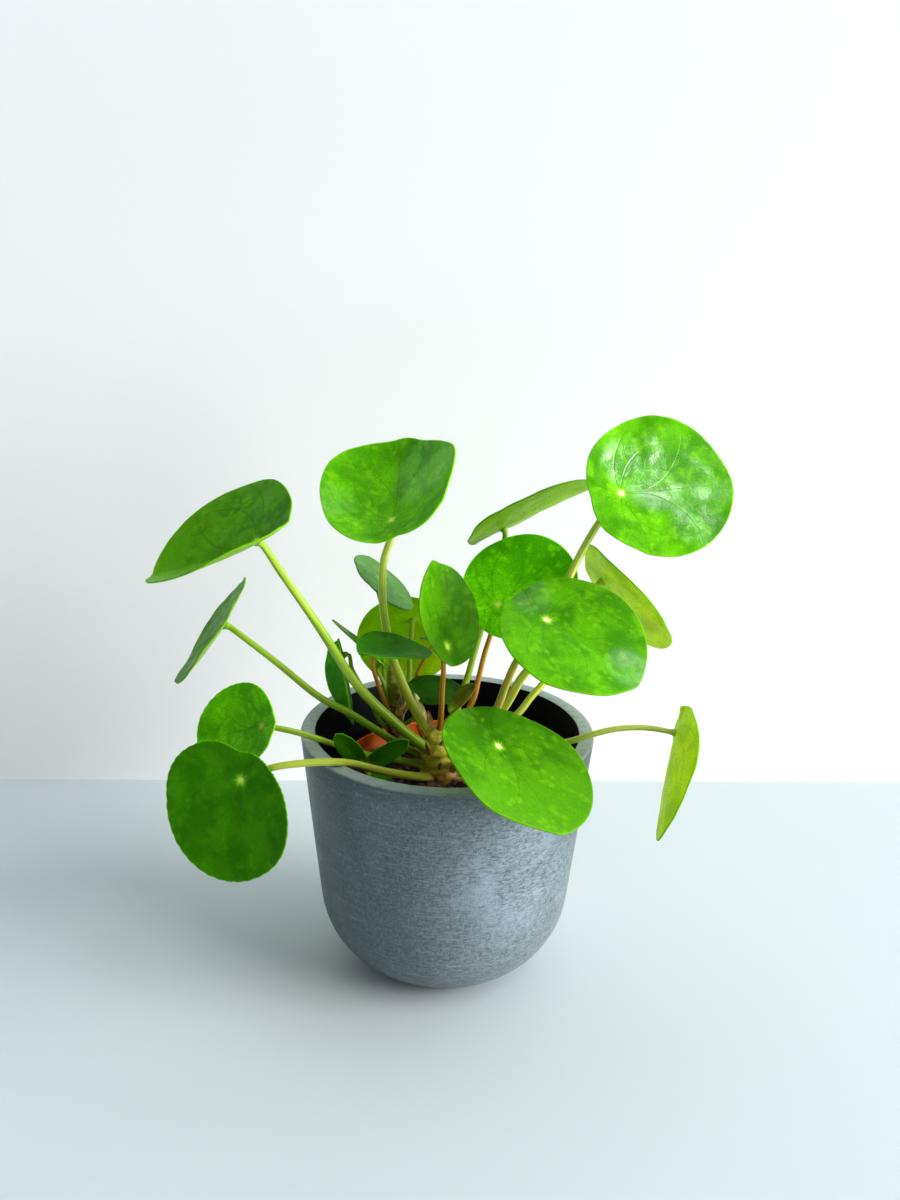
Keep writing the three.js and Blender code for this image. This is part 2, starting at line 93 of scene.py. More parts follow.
# lays a colour over the body where the marks go from low to high
def stain(m, body, colour, marks, low, high, most=1.0, kind="MIX"):
    return blend(m, between(m, marks, low, high, 0.0, most), body, colour, kind)


def summed(m, *parts):  # each part: a pattern, its low, its high, how much it counts
    total = 0.0
    for marks, low, high, amount in parts:
        total = calc(m, "ADD", total, between(m, marks, low, high, 0.0, amount))
    return total


def stretched(m, vector, scale, move=(0, 0, 0)):
    return node(m, "Mapping", None, Vector=vector, Scale=scale, Location=move).outputs[0]


def noiseOf(m, vector, scale, detail=3.0, roughness=0.5, warp=0.0):
    return node(m, "TexNoise", None, Vector=vector, Scale=scale, Detail=detail,
                Roughness=roughness, Distortion=warp).outputs[0]


def cells(m, vector, scale, feature):  # a flat pattern of cells: how far from a middle or from an edge
    return node(m, "TexVoronoi", {"feature": feature, "voronoi_dimensions": "2D"},
                Vector=vector, Scale=scale).outputs["Distance"]


def vectorCalc(m, operation, *values):
    made = node(m, "VectorMath", {"operation": operation})
    for socket, value in zip(made.inputs, values):
        feed(m, socket, value)
    return made


def farFrom(m, vector, centre):
    return vectorCalc(m, "DISTANCE", vector, centre).outputs["Value"]


def objectPlace(m):
    return node(m, "TexCoord").outputs["Object"]


def newFinish(name, **sockets):  # sockets: uniform values of the shader itself
    m = bpy.data.materials.new(name)
    m.use_nodes = True
    shader = m.node_tree.nodes["Principled BSDF"]
    for socket, value in sockets.items():
        shader.inputs[socket.replace("_", " ")].default_value = value
    return m, shader


def relief(m, shader, height, depth, strength):  # depth in metres
    bumps = node(m, "Bump", None, Height=height, Distance=depth, Strength=strength).outputs[0]
    feed(m, shader.inputs["Normal"], bumps)
    return bumps


# shorthands for pieces
def newObject(name, data):
    obj = bpy.data.objects.new(name, data)
    bpy.context.scene.collection.objects.link(obj)
    return obj


def piece(name, bm, finishes, slot, nodes=(), smooth=True):
    for face in bm.faces:
        face.smooth = smooth
    mesh = bpy.data.meshes.new(name)
    bm.to_mesh(mesh)
    bm.free()
    for finish in finishes:
        mesh.materials.append(finish)
    obj = newObject(name, mesh)
    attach(obj, "root")
    if nodes:
        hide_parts(*nodes)
    return obj


def thicken(obj, thickness, inner=0):  # inner: which finish the back takes
    wall = obj.modifiers.new("thickness", "SOLIDIFY")
    wall.thickness, wall.offset, wall.material_offset = thickness * mm, 0, inner


def bentGrid(bm, across, up, place):  # a flat grid bent into shape: place(u, v) takes 0..1 both ways
    uv = bm.loops.layers.uv.verify()
    made = bmesh.ops.create_grid(bm, x_segments=across, y_segments=up, size=0.5)["verts"]
    for face in {face for vert in made for face in vert.link_faces}:
        for loop in face.loops:
            loop[uv].uv = loop.vert.co.xy + Vector((0.5, 0.5))
    for vert in made:
        vert.co = place(vert.co.x + 0.5, vert.co.y + 0.5)
    bmesh.ops.remove_doubles(bm, verts=made, dist=1e-6)  # closes seams and poles


def smoothLine(points):  # a centripetal curve through the points, as a function of 0..1 of its length
    ends = [2 * points[0] - points[1], *points, 2 * points[-1] - points[-2]]
    samples = []
    for a, b, c, d in zip(ends, ends[1:], ends[2:], ends[3:]):
        k = [sqrt((q - p).length) for p, q in ((a, b), (b, c), (c, d))]
        first = ((b - a) / k[0] - (c - a) / (k[0] + k[1]) + (c - b) / k[1]) * k[1]
        last = ((c - b) / k[1] - (d - b) / (k[1] + k[2]) + (d - c) / k[2]) * k[1]
        for i in range(12):
            t = i / 12
            samples.append(b + first * t + (3 * (c - b) - 2 * first - last) * t ** 2
                           + (2 * (b - c) + first + last) * t ** 3)
    samples.append(points[-1])
    run = [0.0]
    for p, q in zip(samples, samples[1:]):
        run.append(run[-1] + (q - p).length)

    def at(share):
        far = max(0.0, min(1.0, share)) * run[-1]
        i = min(max(n for n, d in enumerate(run) if d <= far), len(samples) - 2)
        return samples[i].lerp(samples[i + 1], (far - run[i]) / (run[i + 1] - run[i]))
    return at, run[-1]


# a closed tube along the points, mm; radiusAt takes the share of its length, the angle round it
# and the distance from its start
def tube(bm, points, radiusAt, sides, step):
    grain = bm.verts.layers.float_vector.get("grain") or bm.verts.layers.float_vector.new("grain")
    at, length = smoothLine([Vector(p) for p in points])
    rings = max(4, round(length / step))
    side = None
    frames = []
    for i in range(rings + 1):
        way = (at(min(1, (i + 0.5) / rings)) - at(max(0, (i - 0.5) / rings))).normalized()
        side = way.orthogonal() if side is None else side
        side = (side - way * side.dot(way)).normalized()
        frames.append((at(i / rings), side.copy(), way.cross(side)))

    def place(u, v):
        i = round(v * rings)
        centre, a, b = frames[i]
        turn = 2 * pi * u
        r = radiusAt(i / rings, turn, i / rings * length)
        return (centre + (a * cos(turn) + b * sin(turn)) * r) * mm
    offset = Vector((random.random(), random.random(), random.random())) * 40
    before = set(bm.verts)
    bentGrid(bm, sides, rings, place)
    made = [v for v in bm.verts if v not in before]
    for vert in made:
        i = min(range(rings + 1), key=lambda n: (frames[n][0] * mm - vert.co).length)
        out = vert.co - frames[i][0] * mm
        turn = atan2(out.dot(frames[i][2]), out.dot(frames[i][1]))
        vert[grain] = offset + Vector((cos(turn), sin(turn), i / rings * length * 0.1))
    ends = [e for e in bm.edges if e.is_boundary and e.verts[0] in set(made)]
    bmesh.ops.holes_fill(bm, edges=ends)
    return made


# the cachepot, a matt stone-like tub with a big rounding at its foot; lengths in mm
cachepot = {
    "radius": 75, "height": 131, "wall": 7.6, "floor": 8, "lip": 1.3, "innerLip": 0.6,
    "rounding": 48.4, "centreRadius": 16.9, "centreHeight": 45.4,
    "turnSteps": 144, "roundPoints": 14,
    "dark": (0.045, 0.055, 0.054), "light": (0.25, 0.31, 0.34), "scuff": (0.46, 0.54, 0.59),
    # the inside is painted near black: painted shade for the deep shade inside the pot
    "inside": (0.004, 0.0045, 0.005), "rim": (0.33, 0.39, 0.37), "shine": 0.9, "insideShine": 0.1,
    # the painted sheen: a pale bluish patch painted into the colour as a highlight where the window
    # light shines on the side, in metres
    "paintedSheenColour": (0.33, 0.42, 0.53), "paintedSheenAt": (0.04, -0.058, 0.082), "paintedSheenSize": 0.052,
    # how fine the marks are along X, Y and Z
    "brushed": (85, 85, 250), "crossed": (230, 230, 90), "scratched": (13, 13, 230),
}


# turns a profile of (radius, height) in mm about the axis
def spun(bm, profile, steps, finishOf=lambda a, b: 0):
    verts = [bm.verts.new((r * mm, 0, z * mm)) for r, z in profile]
    edges = [bm.edges.new(pair) for pair in zip(verts, verts[1:])]
    bmesh.ops.spin(bm, geom=verts + edges, cent=(0, 0, 0), axis=(0, 0, 1), dvec=(0, 0, 0),
                   angle=2 * pi, steps=steps, use_merge=True)
    bmesh.ops.remove_doubles(bm, verts=bm.verts[:], dist=1e-6)
    for face in bm.faces:
        radii = [hypot(v.co.x, v.co.y) / mm for v in face.verts]
        heights = [v.co.z / mm for v in face.verts]
        face.material_index = finishOf(sum(radii) / len(radii), sum(heights) / len(heights))
    bmesh.ops.recalc_face_normals(bm, faces=bm.faces[:])


# the round foot and the straight leaning side from a level up, so far in from the outside, and the
# radius it has at the top
def potWall(inset, level):
    c, count = cachepot, cachepot["roundPoints"]
    out, up = c["radius"] - c["centreRadius"], c["height"] - c["centreHeight"]
    lean = acos(c["rounding"] / hypot(out, up)) - atan2(up, out)
    r = c["rounding"] - inset
    lowest = asin((c["centreHeight"] - level) / r)
    turns = [lowest + (lean - lowest) * i / (count - 1) for i in range(count)]
    points = [(c["centreRadius"] + r * cos(t), c["centreHeight"] - r * sin(t)) for t in turns]
    top, edge, start = c["height"], c["radius"] - inset / cos(lean), points[-1][1]
    for share in (0.25, 0.5, 0.75):
        z = start + (top - start) * share
        points.append((edge - (top - z) * tan(lean), z))
    return points, edge


def stoneFinish(name, dark, light, scuff, shine):
    c = cachepot
    m, shader = newFinish(name, Specular_IOR_Level=shine, Specular_Tint=(0.7, 0.88, 1, 1))
    place = objectPlace(m)
    x, _, height = node(m, "SeparateXYZ", None, Vector=place).outputs
    brushed = noiseOf(m, stretched(m, place, c["brushed"]), 4, 5, 0.8, 0.5)
    crossed = noiseOf(m, stretched(m, place, c["crossed"]), 4, 3, 0.75, 0.4)
    scratched = noiseOf(m, stretched(m, place, c["scratched"]), 4, 3, 0.65, 0.6)
    cloudy = noiseOf(m, place, 24, 5, 0.6, 0.8)
    speckle = noiseOf(m, place, 700, 3, 0.75)
    tone = summed(m, (speckle, 0.35, 0.65, 0.15), (cloudy, 0.3, 0.7, 0.1), (crossed, 0.4, 0.6, 0.25),
                  (brushed, 0.4, 0.6, 0.5))
    body = blend(m, tone, dark, light)
    if dark != light:  # only the outside gets the wear, the marks, the painted shade and the painted sheen
        body = stain(m, body, dark, x, 0.03, -0.065, 0.7)  # painted shade: darker on the left side, away from the window light; and darker near the top
        top = c["height"] * mm
        body = stain(m, body, dark, height, top - 14 * mm, top - 3 * mm, 0.4)
        # painted sheen: a pale bluish highlight painted into the colour on the lit side
        paintedSheenPatch = farFrom(m, place, c["paintedSheenAt"])
        paintedSheenPatch = between(m, paintedSheenPatch, c["paintedSheenSize"], c["paintedSheenSize"] * 0.2, 0.0, 0.6)
        paintedSheenPatch = times(m, paintedSheenPatch, between(m, calc(m, "ADD", brushed, cloudy), 0.8, 1.15))
        body = blend(m, paintedSheenPatch, body, c["paintedSheenColour"])
        body = stain(m, body, scuff, scratched, 0.58, 0.68, between(m, height, 0.05, 0.015, 0.2, 0.5))
        body = stain(m, body, dark, scratched, 0.4, 0.3, 0.5)
        body = stain(m, body, scuff, speckle, 0.58, 0.72, 0.4)
        paleRimBand = between(m, height, top - 1.2 * mm, top - 0.4 * mm)  # the rim is pale
        mottled = between(m, noiseOf(m, place, 260, 4, 0.7), 0.3, 0.6, 0.55, 1.0)
        body = blend(m, times(m, paleRimBand, mottled), body, c["rim"])
    feed(m, shader.inputs["Base Color"], body)
    feed(m, shader.inputs["Roughness"], between(m, cloudy, 0.3, 0.7, 0.54, 0.36))
    grit = calc(m, "MULTIPLY_ADD", crossed, 0.5, calc(m, "MULTIPLY_ADD", speckle, 0.5, scratched))
    relief(m, shader, calc(m, "ADD", brushed, grit), 0.0003, 0.6)
    return m


def makeCachepot():
    c = cachepot
    outer, outerEdge = potWall(0, 0)
    inner, innerEdge = potWall(c["wall"], c["floor"])
    profile = [(0, 0), *outer, (outerEdge, c["height"])]
    profile += [(innerEdge, c["height"]), *inner[::-1], (0, c["floor"])]
    bm = bmesh.new()

    def finishOf(r, z):  # 0 outside, 1 inside
        return 1 if r < potMiddle(z) and z < c["height"] - 0.5 else 0
    spun(bm, profile, c["turnSteps"], finishOf)
    for radius, lip in ((outerEdge, c["lip"]), (innerEdge, c["innerLip"])):
        def onRim(v):
            return abs(v.co.z - c["height"] * mm) < 1e-6 and abs(hypot(*v.co.xy) - radius * mm) < 1e-5
        rim = [e for e in bm.edges if all(onRim(v) for v in e.verts)]
        bmesh.ops.bevel(bm, geom=rim, offset=lip * mm, offset_type="OFFSET", affect="EDGES",
                        segments=4, profile=0.5, material=-1)
    stone = stoneFinish("cachepot_stone", c["dark"], c["light"], c["scuff"], c["shine"])
    # the inside finish is painted near black, painted shade
    inside = stoneFinish("cachepot_inside", c["inside"], c["inside"], c["inside"],
                         c["insideShine"])
    piece("cachepot_body", bm, [stone, inside], "cachepot", ["cachepot"])


def potMiddle(z):  # radius of the middle of the wall at a height
    c = cachepot
    points, edge = potWall(c["wall"] / 2, c["floor"] / 2)
    points.append((edge, c["height"]))
    if z <= points[0][1]:
        return 0
    for (r0, z0), (r1, z1) in zip(points, points[1:]):
        if z0 <= z <= z1:
            return r0 + (r1 - r0) * (z - z0) / (z1 - z0)
    return points[-1][0]


makeCachepot()
print("cachepot made")


# the nursery pot, thin terracotta-coloured plastic with a stepped rim and drain holes; lengths in mm
nursery = {
    "rimRadius": 54.5, "rimTop": 112, "rimHeight": 8, "rimStep": 2, "wall": 1.2,
    "baseRadius": 38, "drains": 6, "drainCircle": 25, "drainSize": 9, "turnSteps": 96,
    "colour": (0.9, 0.14, 0.012), "dusty": (0.95, 0.22, 0.035), "soiled": (0.2, 0.06, 0.02),
}


def nurseryBase():  # the height at which its foot rests on the cachepot's rounding
    clear = cachepot["rounding"] - cachepot["wall"] - 0.6
    across = nursery["baseRadius"] - cachepot["centreRadius"]
    return cachepot["centreHeight"] - sqrt(clear ** 2 - across ** 2)


def terracottaFinish():
    n = nursery
    m, shader = newFinish("nursery_plastic", Roughness=0.42, Specular_IOR_Level=0.15)
    place = objectPlace(m)
    clouds = noiseOf(m, place, 60, 4, 0.6)
    grains = noiseOf(m, place, 900, 3, 0.6)
    body = stain(m, n["colour"], n["dusty"], clouds, 0.4, 0.7)
    dirt = times(m, between(m, grains, 0.52, 0.7), between(m, clouds, 0.45, 0.65))
    body = blend(m, times(m, dirt, 0.7), body, n["soiled"])
    feed(m, shader.inputs["Base Color"], body)
    feed(m, shader.inputs["Roughness"], between(m, clouds, 0.3, 0.7, 0.36, 0.6))
    relief(m, shader, grains, 0.0001, 0.4)
    return m


def makeNurseryPot():
    n = nursery
    base, neck = nurseryBase(), n["rimTop"] - n["rimHeight"]
    half = n["wall"] / 2
    gapAcross, rim = n["drainSize"] / 2, n["rimRadius"]
    profile = [(0, base + half), (n["drainCircle"] - gapAcross, base + half),
               (n["drainCircle"] + gapAcross, base + half),
               (n["baseRadius"] - 2, base + half), (n["baseRadius"] - half, base + 2),
               (rim - n["rimStep"] - 1.5, neck - 0.5), (rim - n["rimStep"] * 0.5, neck),
               (rim - half, neck + 1), (rim - half, n["rimTop"] - 0.9),
               (rim - half - 0.3, n["rimTop"] - half)]
    bm = bmesh.new()
    spun(bm, profile, n["turnSteps"])
    sector = n["turnSteps"] // n["drains"]
    wide = round(n["drainSize"] / n["drainCircle"] / (2 * pi / n["turnSteps"]))
    holes = []
    for face in bm.faces:
        centre = face.calc_center_median() / mm
        across = hypot(centre.x, centre.y)
        step = int((atan2(centre.y, centre.x) % (2 * pi)) / (2 * pi) * n["turnSteps"])
        if abs(across - n["drainCircle"]) < 2 and centre.z < base + 1 and step % sector < wide:
            holes.append(face)
    bmesh.ops.delete(bm, geom=holes, context="FACES")
    if any(f.calc_center_median().z < (base + 1) * mm and f.normal.z > 0 for f in bm.faces):
        bmesh.ops.reverse_faces(bm, faces=bm.faces[:])  # the bottom looks down
    obj = piece("nursery_pot_shell", bm, [terracottaFinish()], "nursery_pot", ["nursery_pot"])
    thicken(obj, n["wall"])
    soft = obj.modifiers.new("soft", "SUBSURF")
    soft.levels = soft.render_levels = 1


makeNurseryPot()
print("nursery pot made")


# the soil, dark peat with bark chips, crumbs and coir fibres on top; lengths in mm
soil = {
    "top": 104, "radius": 50.7, "lumps": 1.0, "crumble": 1.1, "spokes": 120, "rings": 44,
    "chips": 330, "chipSizes": (1.6, 6.5), "crumbs": 900, "crumbSizes": (0.5, 1.9),
    "fibres": 160, "fibreRadius": 0.13,
    "peat": (0.012, 0.007, 0.006), "dry": (0.06, 0.032, 0.026),
    "bark": (0.1, 0.045, 0.035), "barkPale": (0.36, 0.2, 0.18), "fibre": (0.4, 0.21, 0.17),
}


def soilHeight(x, y):
    lump = sin(0.31 * x + 1.7) * cos(0.27 * y + 0.4) + 0.6 * sin(0.63 * y + 0.5 * x)
    rough = noise.fractal(Vector((x, y, 3)) * 0.16, 1, 2.1, 5)
    return soil["top"] + soil["lumps"] * lump + soil["crumble"] * rough


def earthFinish(name, low, high, scale):
    m, shader = newFinish(name, Roughness=0.9, Specular_IOR_Level=0.25)
    place = objectPlace(m)
    clouds = noiseOf(m, place, scale, 4, 0.6)
    grains = noiseOf(m, place, scale * 9, 4, 0.7)
    tone = summed(m, (grains, 0.4, 0.7, 0.6), (clouds, 0.4, 0.7, 0.4))
    feed(m, shader.inputs["Base Color"], blend(m, tone, low, high))
    relief(m, shader, grains, 0.0006, 0.9)
    return m


def makeSoil():
    s, n = soil, nursery
    base = nurseryBase() + n["wall"] + 0.3
    neck = n["rimTop"] - n["rimHeight"]
    bm = bmesh.new()
    foot = n["baseRadius"] - n["wall"] - 0.6
    profile = [(0, base), (foot, base), (s["radius"], neck - 1.4)]
    profile += [(s["radius"] * (1 - i / s["rings"]), neck) for i in range(s["rings"] + 1)]
    spun(bm, profile, s["spokes"])
    for vert in bm.verts:
        x, y = vert.co.x / mm, vert.co.y / mm
        if vert.co.z > (neck - 0.5) * mm:
            near = min(1, (s["radius"] - hypot(x, y)) / 4)  # level along the pot's wall
            vert.co.z = (neck - 1 + (soilHeight(x, y) - neck + 1) * near) * mm
    piece("soil_bed", bm, [earthFinish("soil_peat", s["peat"], s["dry"], 160)], "soil", ["soil"])

    def scatter(name, finish, shape, count, small, large, flat):  # flat: how thick for its length
        bm = bmesh.new()
        for i in range(count):
            r, turn = (s["radius"] - 2) * sqrt(random.random()), random.random() * 2 * pi
            x, y = r * cos(turn), r * sin(turn)
            size = small + (large - small) * random.random() ** 2.2
            made = shape(bm)
            for vert in made:
                vert.co *= 1 + 0.3 * (random.random() - 0.5)
            turned = Matrix.Rotation(random.random() * 2 * pi, 4, "Z")
            turned = turned @ Matrix.Rotation(random.gauss(0, 0.35), 4, "X")
            size3 = Vector((size, size * (0.45 + 0.4 * random.random()), size * flat)) * mm
            at = Vector((x, y, soilHeight(x, y) + size * flat * 0.3)) * mm
            placed = Matrix.Translation(at) @ turned @ Matrix.Diagonal((*size3, 1))
            bmesh.ops.transform(bm, verts=made, matrix=placed)
        piece(name, bm, [finish], "soil", smooth=False)

    def chip(bm):
        made = bmesh.ops.create_cube(bm, size=1)["verts"]
        edges = list({e for v in made for e in v.link_edges})
        return bmesh.ops.bevel(bm, geom=edges, offset=0.16, affect="EDGES", segments=1,
                               profile=0.5, material=-1)["verts"]

    def crumb(bm):
        return bmesh.ops.create_icosphere(bm, subdivisions=1, radius=0.5)["verts"]
    scatter("soil_bark", earthFinish("soil_bark_chips", s["bark"], s["barkPale"], 260), chip,
            s["chips"], *s["chipSizes"], 0.3)
    scatter("soil_crumbs", earthFinish("soil_crumb", s["peat"], s["bark"], 300), crumb,
            s["crumbs"], *s["crumbSizes"], 0.8)
    bm = bmesh.new()
    for i in range(s["fibres"]):
        r, turn = (s["radius"] - 6) * random.random(), random.random() * 2 * pi
        x, y, way = r * cos(turn), r * sin(turn), random.random() * 2 * pi
        long, rise = 3 + 7 * random.random(), 0.5 + 2 * random.random()
        bend = random.gauss(0, 0.7)
        points = []
        for share in (0, 1 / 3, 2 / 3, 1):
            far, turn = long * share, way + bend * share
            px, py = x + far * cos(turn), y + far * sin(turn)
            points.append((px, py, soilHeight(px, py) + 0.3 + rise * sin(pi * share)))
        tube(bm, points, lambda share, turn, far: s["fibreRadius"], sides=4, step=2)
    piece("soil_fibres", bm, [earthFinish("soil_fibre", s["bark"], s["fibre"], 200)], "soil")


makeSoil()
print("soil made")


# the crown and the side shoot, knobbly stems with leaf scars and dry stipules; lengths in mm,
# stipulesOn: which part of the stem has the scales; turnsFresh: heights where bark turns green
shoots = {
    "crown": {
        "line": [(-2, 1, 93), (-3, 0, 105), (-5, 0, 115), (-6, 2, 124), (-5.5, 3, 131)],
        "radii": [8, 9.5, 9.5, 7.5, 3.5], "knobs": 0.2,
        "stipules": 15, "stipulesOn": (0.4, 0.95), "stipuleSize": (8, 3.6),
        "bark": (0.5, 0.27, 0.05), "fresh": (0.62, 0.56, 0.04), "scar": (0.9, 0.56, 0.28),
        "turnsFresh": (102, 118),
    },
    "side_shoot": {
        "line": [(-27, 27, 93), (-27, 27, 104), (-28, 26, 118), (-28, 25, 132), (-29, 24, 145),
                 (-30, 23, 157)],
        "radii": [4.5, 5, 4.4, 4, 3.2, 2], "knobs": 0.14,
        "stipules": 12, "stipulesOn": (0.5, 0.7), "stipuleSize": (9, 3),
        "bark": (0.12, 0.045, 0.03), "fresh": (0.28, 0.33, 0.02), "scar": (0.3, 0.14, 0.05),
        "turnsFresh": (126, 136),
    },
}
papery = {"pale": (0.62, 0.38, 0.1), "dark": (0.22, 0.09, 0.02), "thickness": 0.25}


def along(values, share):
    place = share * (len(values) - 1)
    i = min(int(place), len(values) - 2)
    return values[i] + (values[i + 1] - values[i]) * (place - i)


def shootFinish(name, look):
    m, shader = newFinish(name, Roughness=0.5, Specular_IOR_Level=0.4)
    place = objectPlace(m)
    patches = noiseOf(m, place, 190, 4, 0.6, 0.5)
    fine = noiseOf(m, place, 900, 4, 0.65)
    rings = noiseOf(m, stretched(m, place, (90, 90, 900)), 1, 3, 0.6, 0.8)
    bark, (low, high) = look["bark"], look["turnsFresh"]
    height = node(m, "SeparateXYZ", None, Vector=place).outputs[2]
    height = calc(m, "MULTIPLY_ADD", patches, 0.024, height)  # ragged, and 12 mm up on average
    body = stain(m, bark, look["fresh"], height, (low + 12) * mm, (high + 12) * mm)
    body = stain(m, body, bark, patches, 0.45, 0.3, 0.5)
    body = stain(m, body, look["scar"], noiseOf(m, place, 110, 2, 0.5), 0.52, 0.64, 0.85)
    body = stain(m, body, bark, rings, 0.52, 0.7, 0.6, "MULTIPLY")
    feed(m, shader.inputs["Base Color"], body)
    relief(m, shader, calc(m, "MULTIPLY_ADD", rings, 0.7, fine), 0.0006, 0.7)
    return m


def paperFinish(name, pale, dark):
    m, shader = newFinish(name, Roughness=0.75, Specular_IOR_Level=0.3)
    place = objectPlace(m)
    streak = noiseOf(m, stretched(m, place, (1100, 1100, 140)), 1, 3, 0.6)
    clouds = noiseOf(m, place, 200, 3, 0.5)
    tone = summed(m, (streak, 0.35, 0.7, 0.6), (clouds, 0.35, 0.65, 0.4))
    feed(m, shader.inputs["Base Color"], blend(m, tone, dark, pale))
    relief(m, shader, streak, 0.0003, 0.8)
    return m


def stipule(bm, foot, out, way, size):  # a small dry pointed scale, hollow towards the stem
    length, width = size
    side = way.cross(out).normalized()

    def place(u, v):
        across = (u - 0.5) * width * (1 - v) ** 0.7 * (0.7 + 0.9 * v)
        curl = 1.4 * v ** 2 + 0.35 * abs(u - 0.5) ** 2 * width * -2
        return (foot + way * (length * v) + side * across + out * (0.3 + curl)) * mm
    bentGrid(bm, 6, 7, place)


def makeShoot(name):
    look = shoots[name]
    line = [Vector(p) for p in look["line"]]
    at, length = smoothLine(line)
    bm = bmesh.new()
    offset = random.random() * 50

    def radiusAt(share, turn, far):
        knob = noise.fractal(Vector((cos(turn) * 1.3, sin(turn) * 1.3, far * 0.28 + offset)), 1, 2, 4)
        ring = 0.35 * abs(sin(far * 0.95 + 0.6 * sin(turn * 2)))
        dome = sqrt(max(0.02, 1 - max(0, (share - 0.93) / 0.07) ** 2))
        return (along(look["radii"], share) * (1 + look["knobs"] * knob) + ring) * dome
    tube(bm, line, radiusAt, sides=40, step=0.7)
    piece(name + "_stem", bm, [shootFinish(name + "_bark", look)], "crown", [name])
    bm = bmesh.new()
    low, high = look["stipulesOn"]
    for i in range(look["stipules"]):
        share = low + (high - low) * i / look["stipules"]
        turn = 2.4 * i
        out = Vector((cos(turn), sin(turn), 0.25)).normalized()
        way = (Vector((0, 0, 1)) * 0.95 + out * (0.25 + 0.3 * random.random())).normalized()
        foot = at(share) + Vector((cos(turn), sin(turn), 0)) * (along(look["radii"], share) - 0.6)
        long, wide = look["stipuleSize"]
        size = (long * (0.6 + 0.6 * random.random()), wide * (0.8 + 0.4 * random.random()))
        stipule(bm, foot, out, way, size)
    paper = paperFinish(name + "_paper", papery["pale"], papery["dark"])
    thicken(piece(name + "_stipules", bm, [paper], "crown"), papery["thickness"])


# the pale pointed sheath that the youngest leaves came out of, and an old stub of a stalk on the soil
sheath = {
    "foot": (-11, 6, 130), "tip": (-18, 7, 148), "width": 7, "thickness": 0.4,
    "hollowSide": (0.5, -0.86, 0),
    "pale": (0.8, 0.8, 0.35), "dark": (0.5, 0.5, 0.12),
}
stub = {
    "line": [(-2, -5, 105.5), (3, -8, 106.2), (9, -10, 106.8)], "radius": 1.5,
    "turnsFresh": (80, 90),
}


def makeSheath():
    foot, tip = Vector(sheath["foot"]), Vector(sheath["tip"])
    bm = bmesh.new()
    size = ((tip - foot).length, sheath["width"])
    stipule(bm, foot, Vector(sheath["hollowSide"]), (tip - foot).normalized(), size)
    skin = paperFinish("sheath_skin", sheath["pale"], sheath["dark"])
    thicken(piece("crown_sheath", bm, [skin], "crown"), sheath["thickness"])


def makeStub():
    bm = bmesh.new()

    def radiusAt(share, turn, far):
        return stub["radius"] * (1 - 0.25 * share ** 4)
    tube(bm, stub["line"], radiusAt, sides=16, step=0.8)
    bark = shootFinish("stub_bark", {**shoots["crown"], "turnsFresh": stub["turnsFresh"]})
    piece("crown_stub", bm, [bark], "crown")


for name in shoots:
    makeShoot(name)
makeSheath()
makeStub()
print("shoots made")


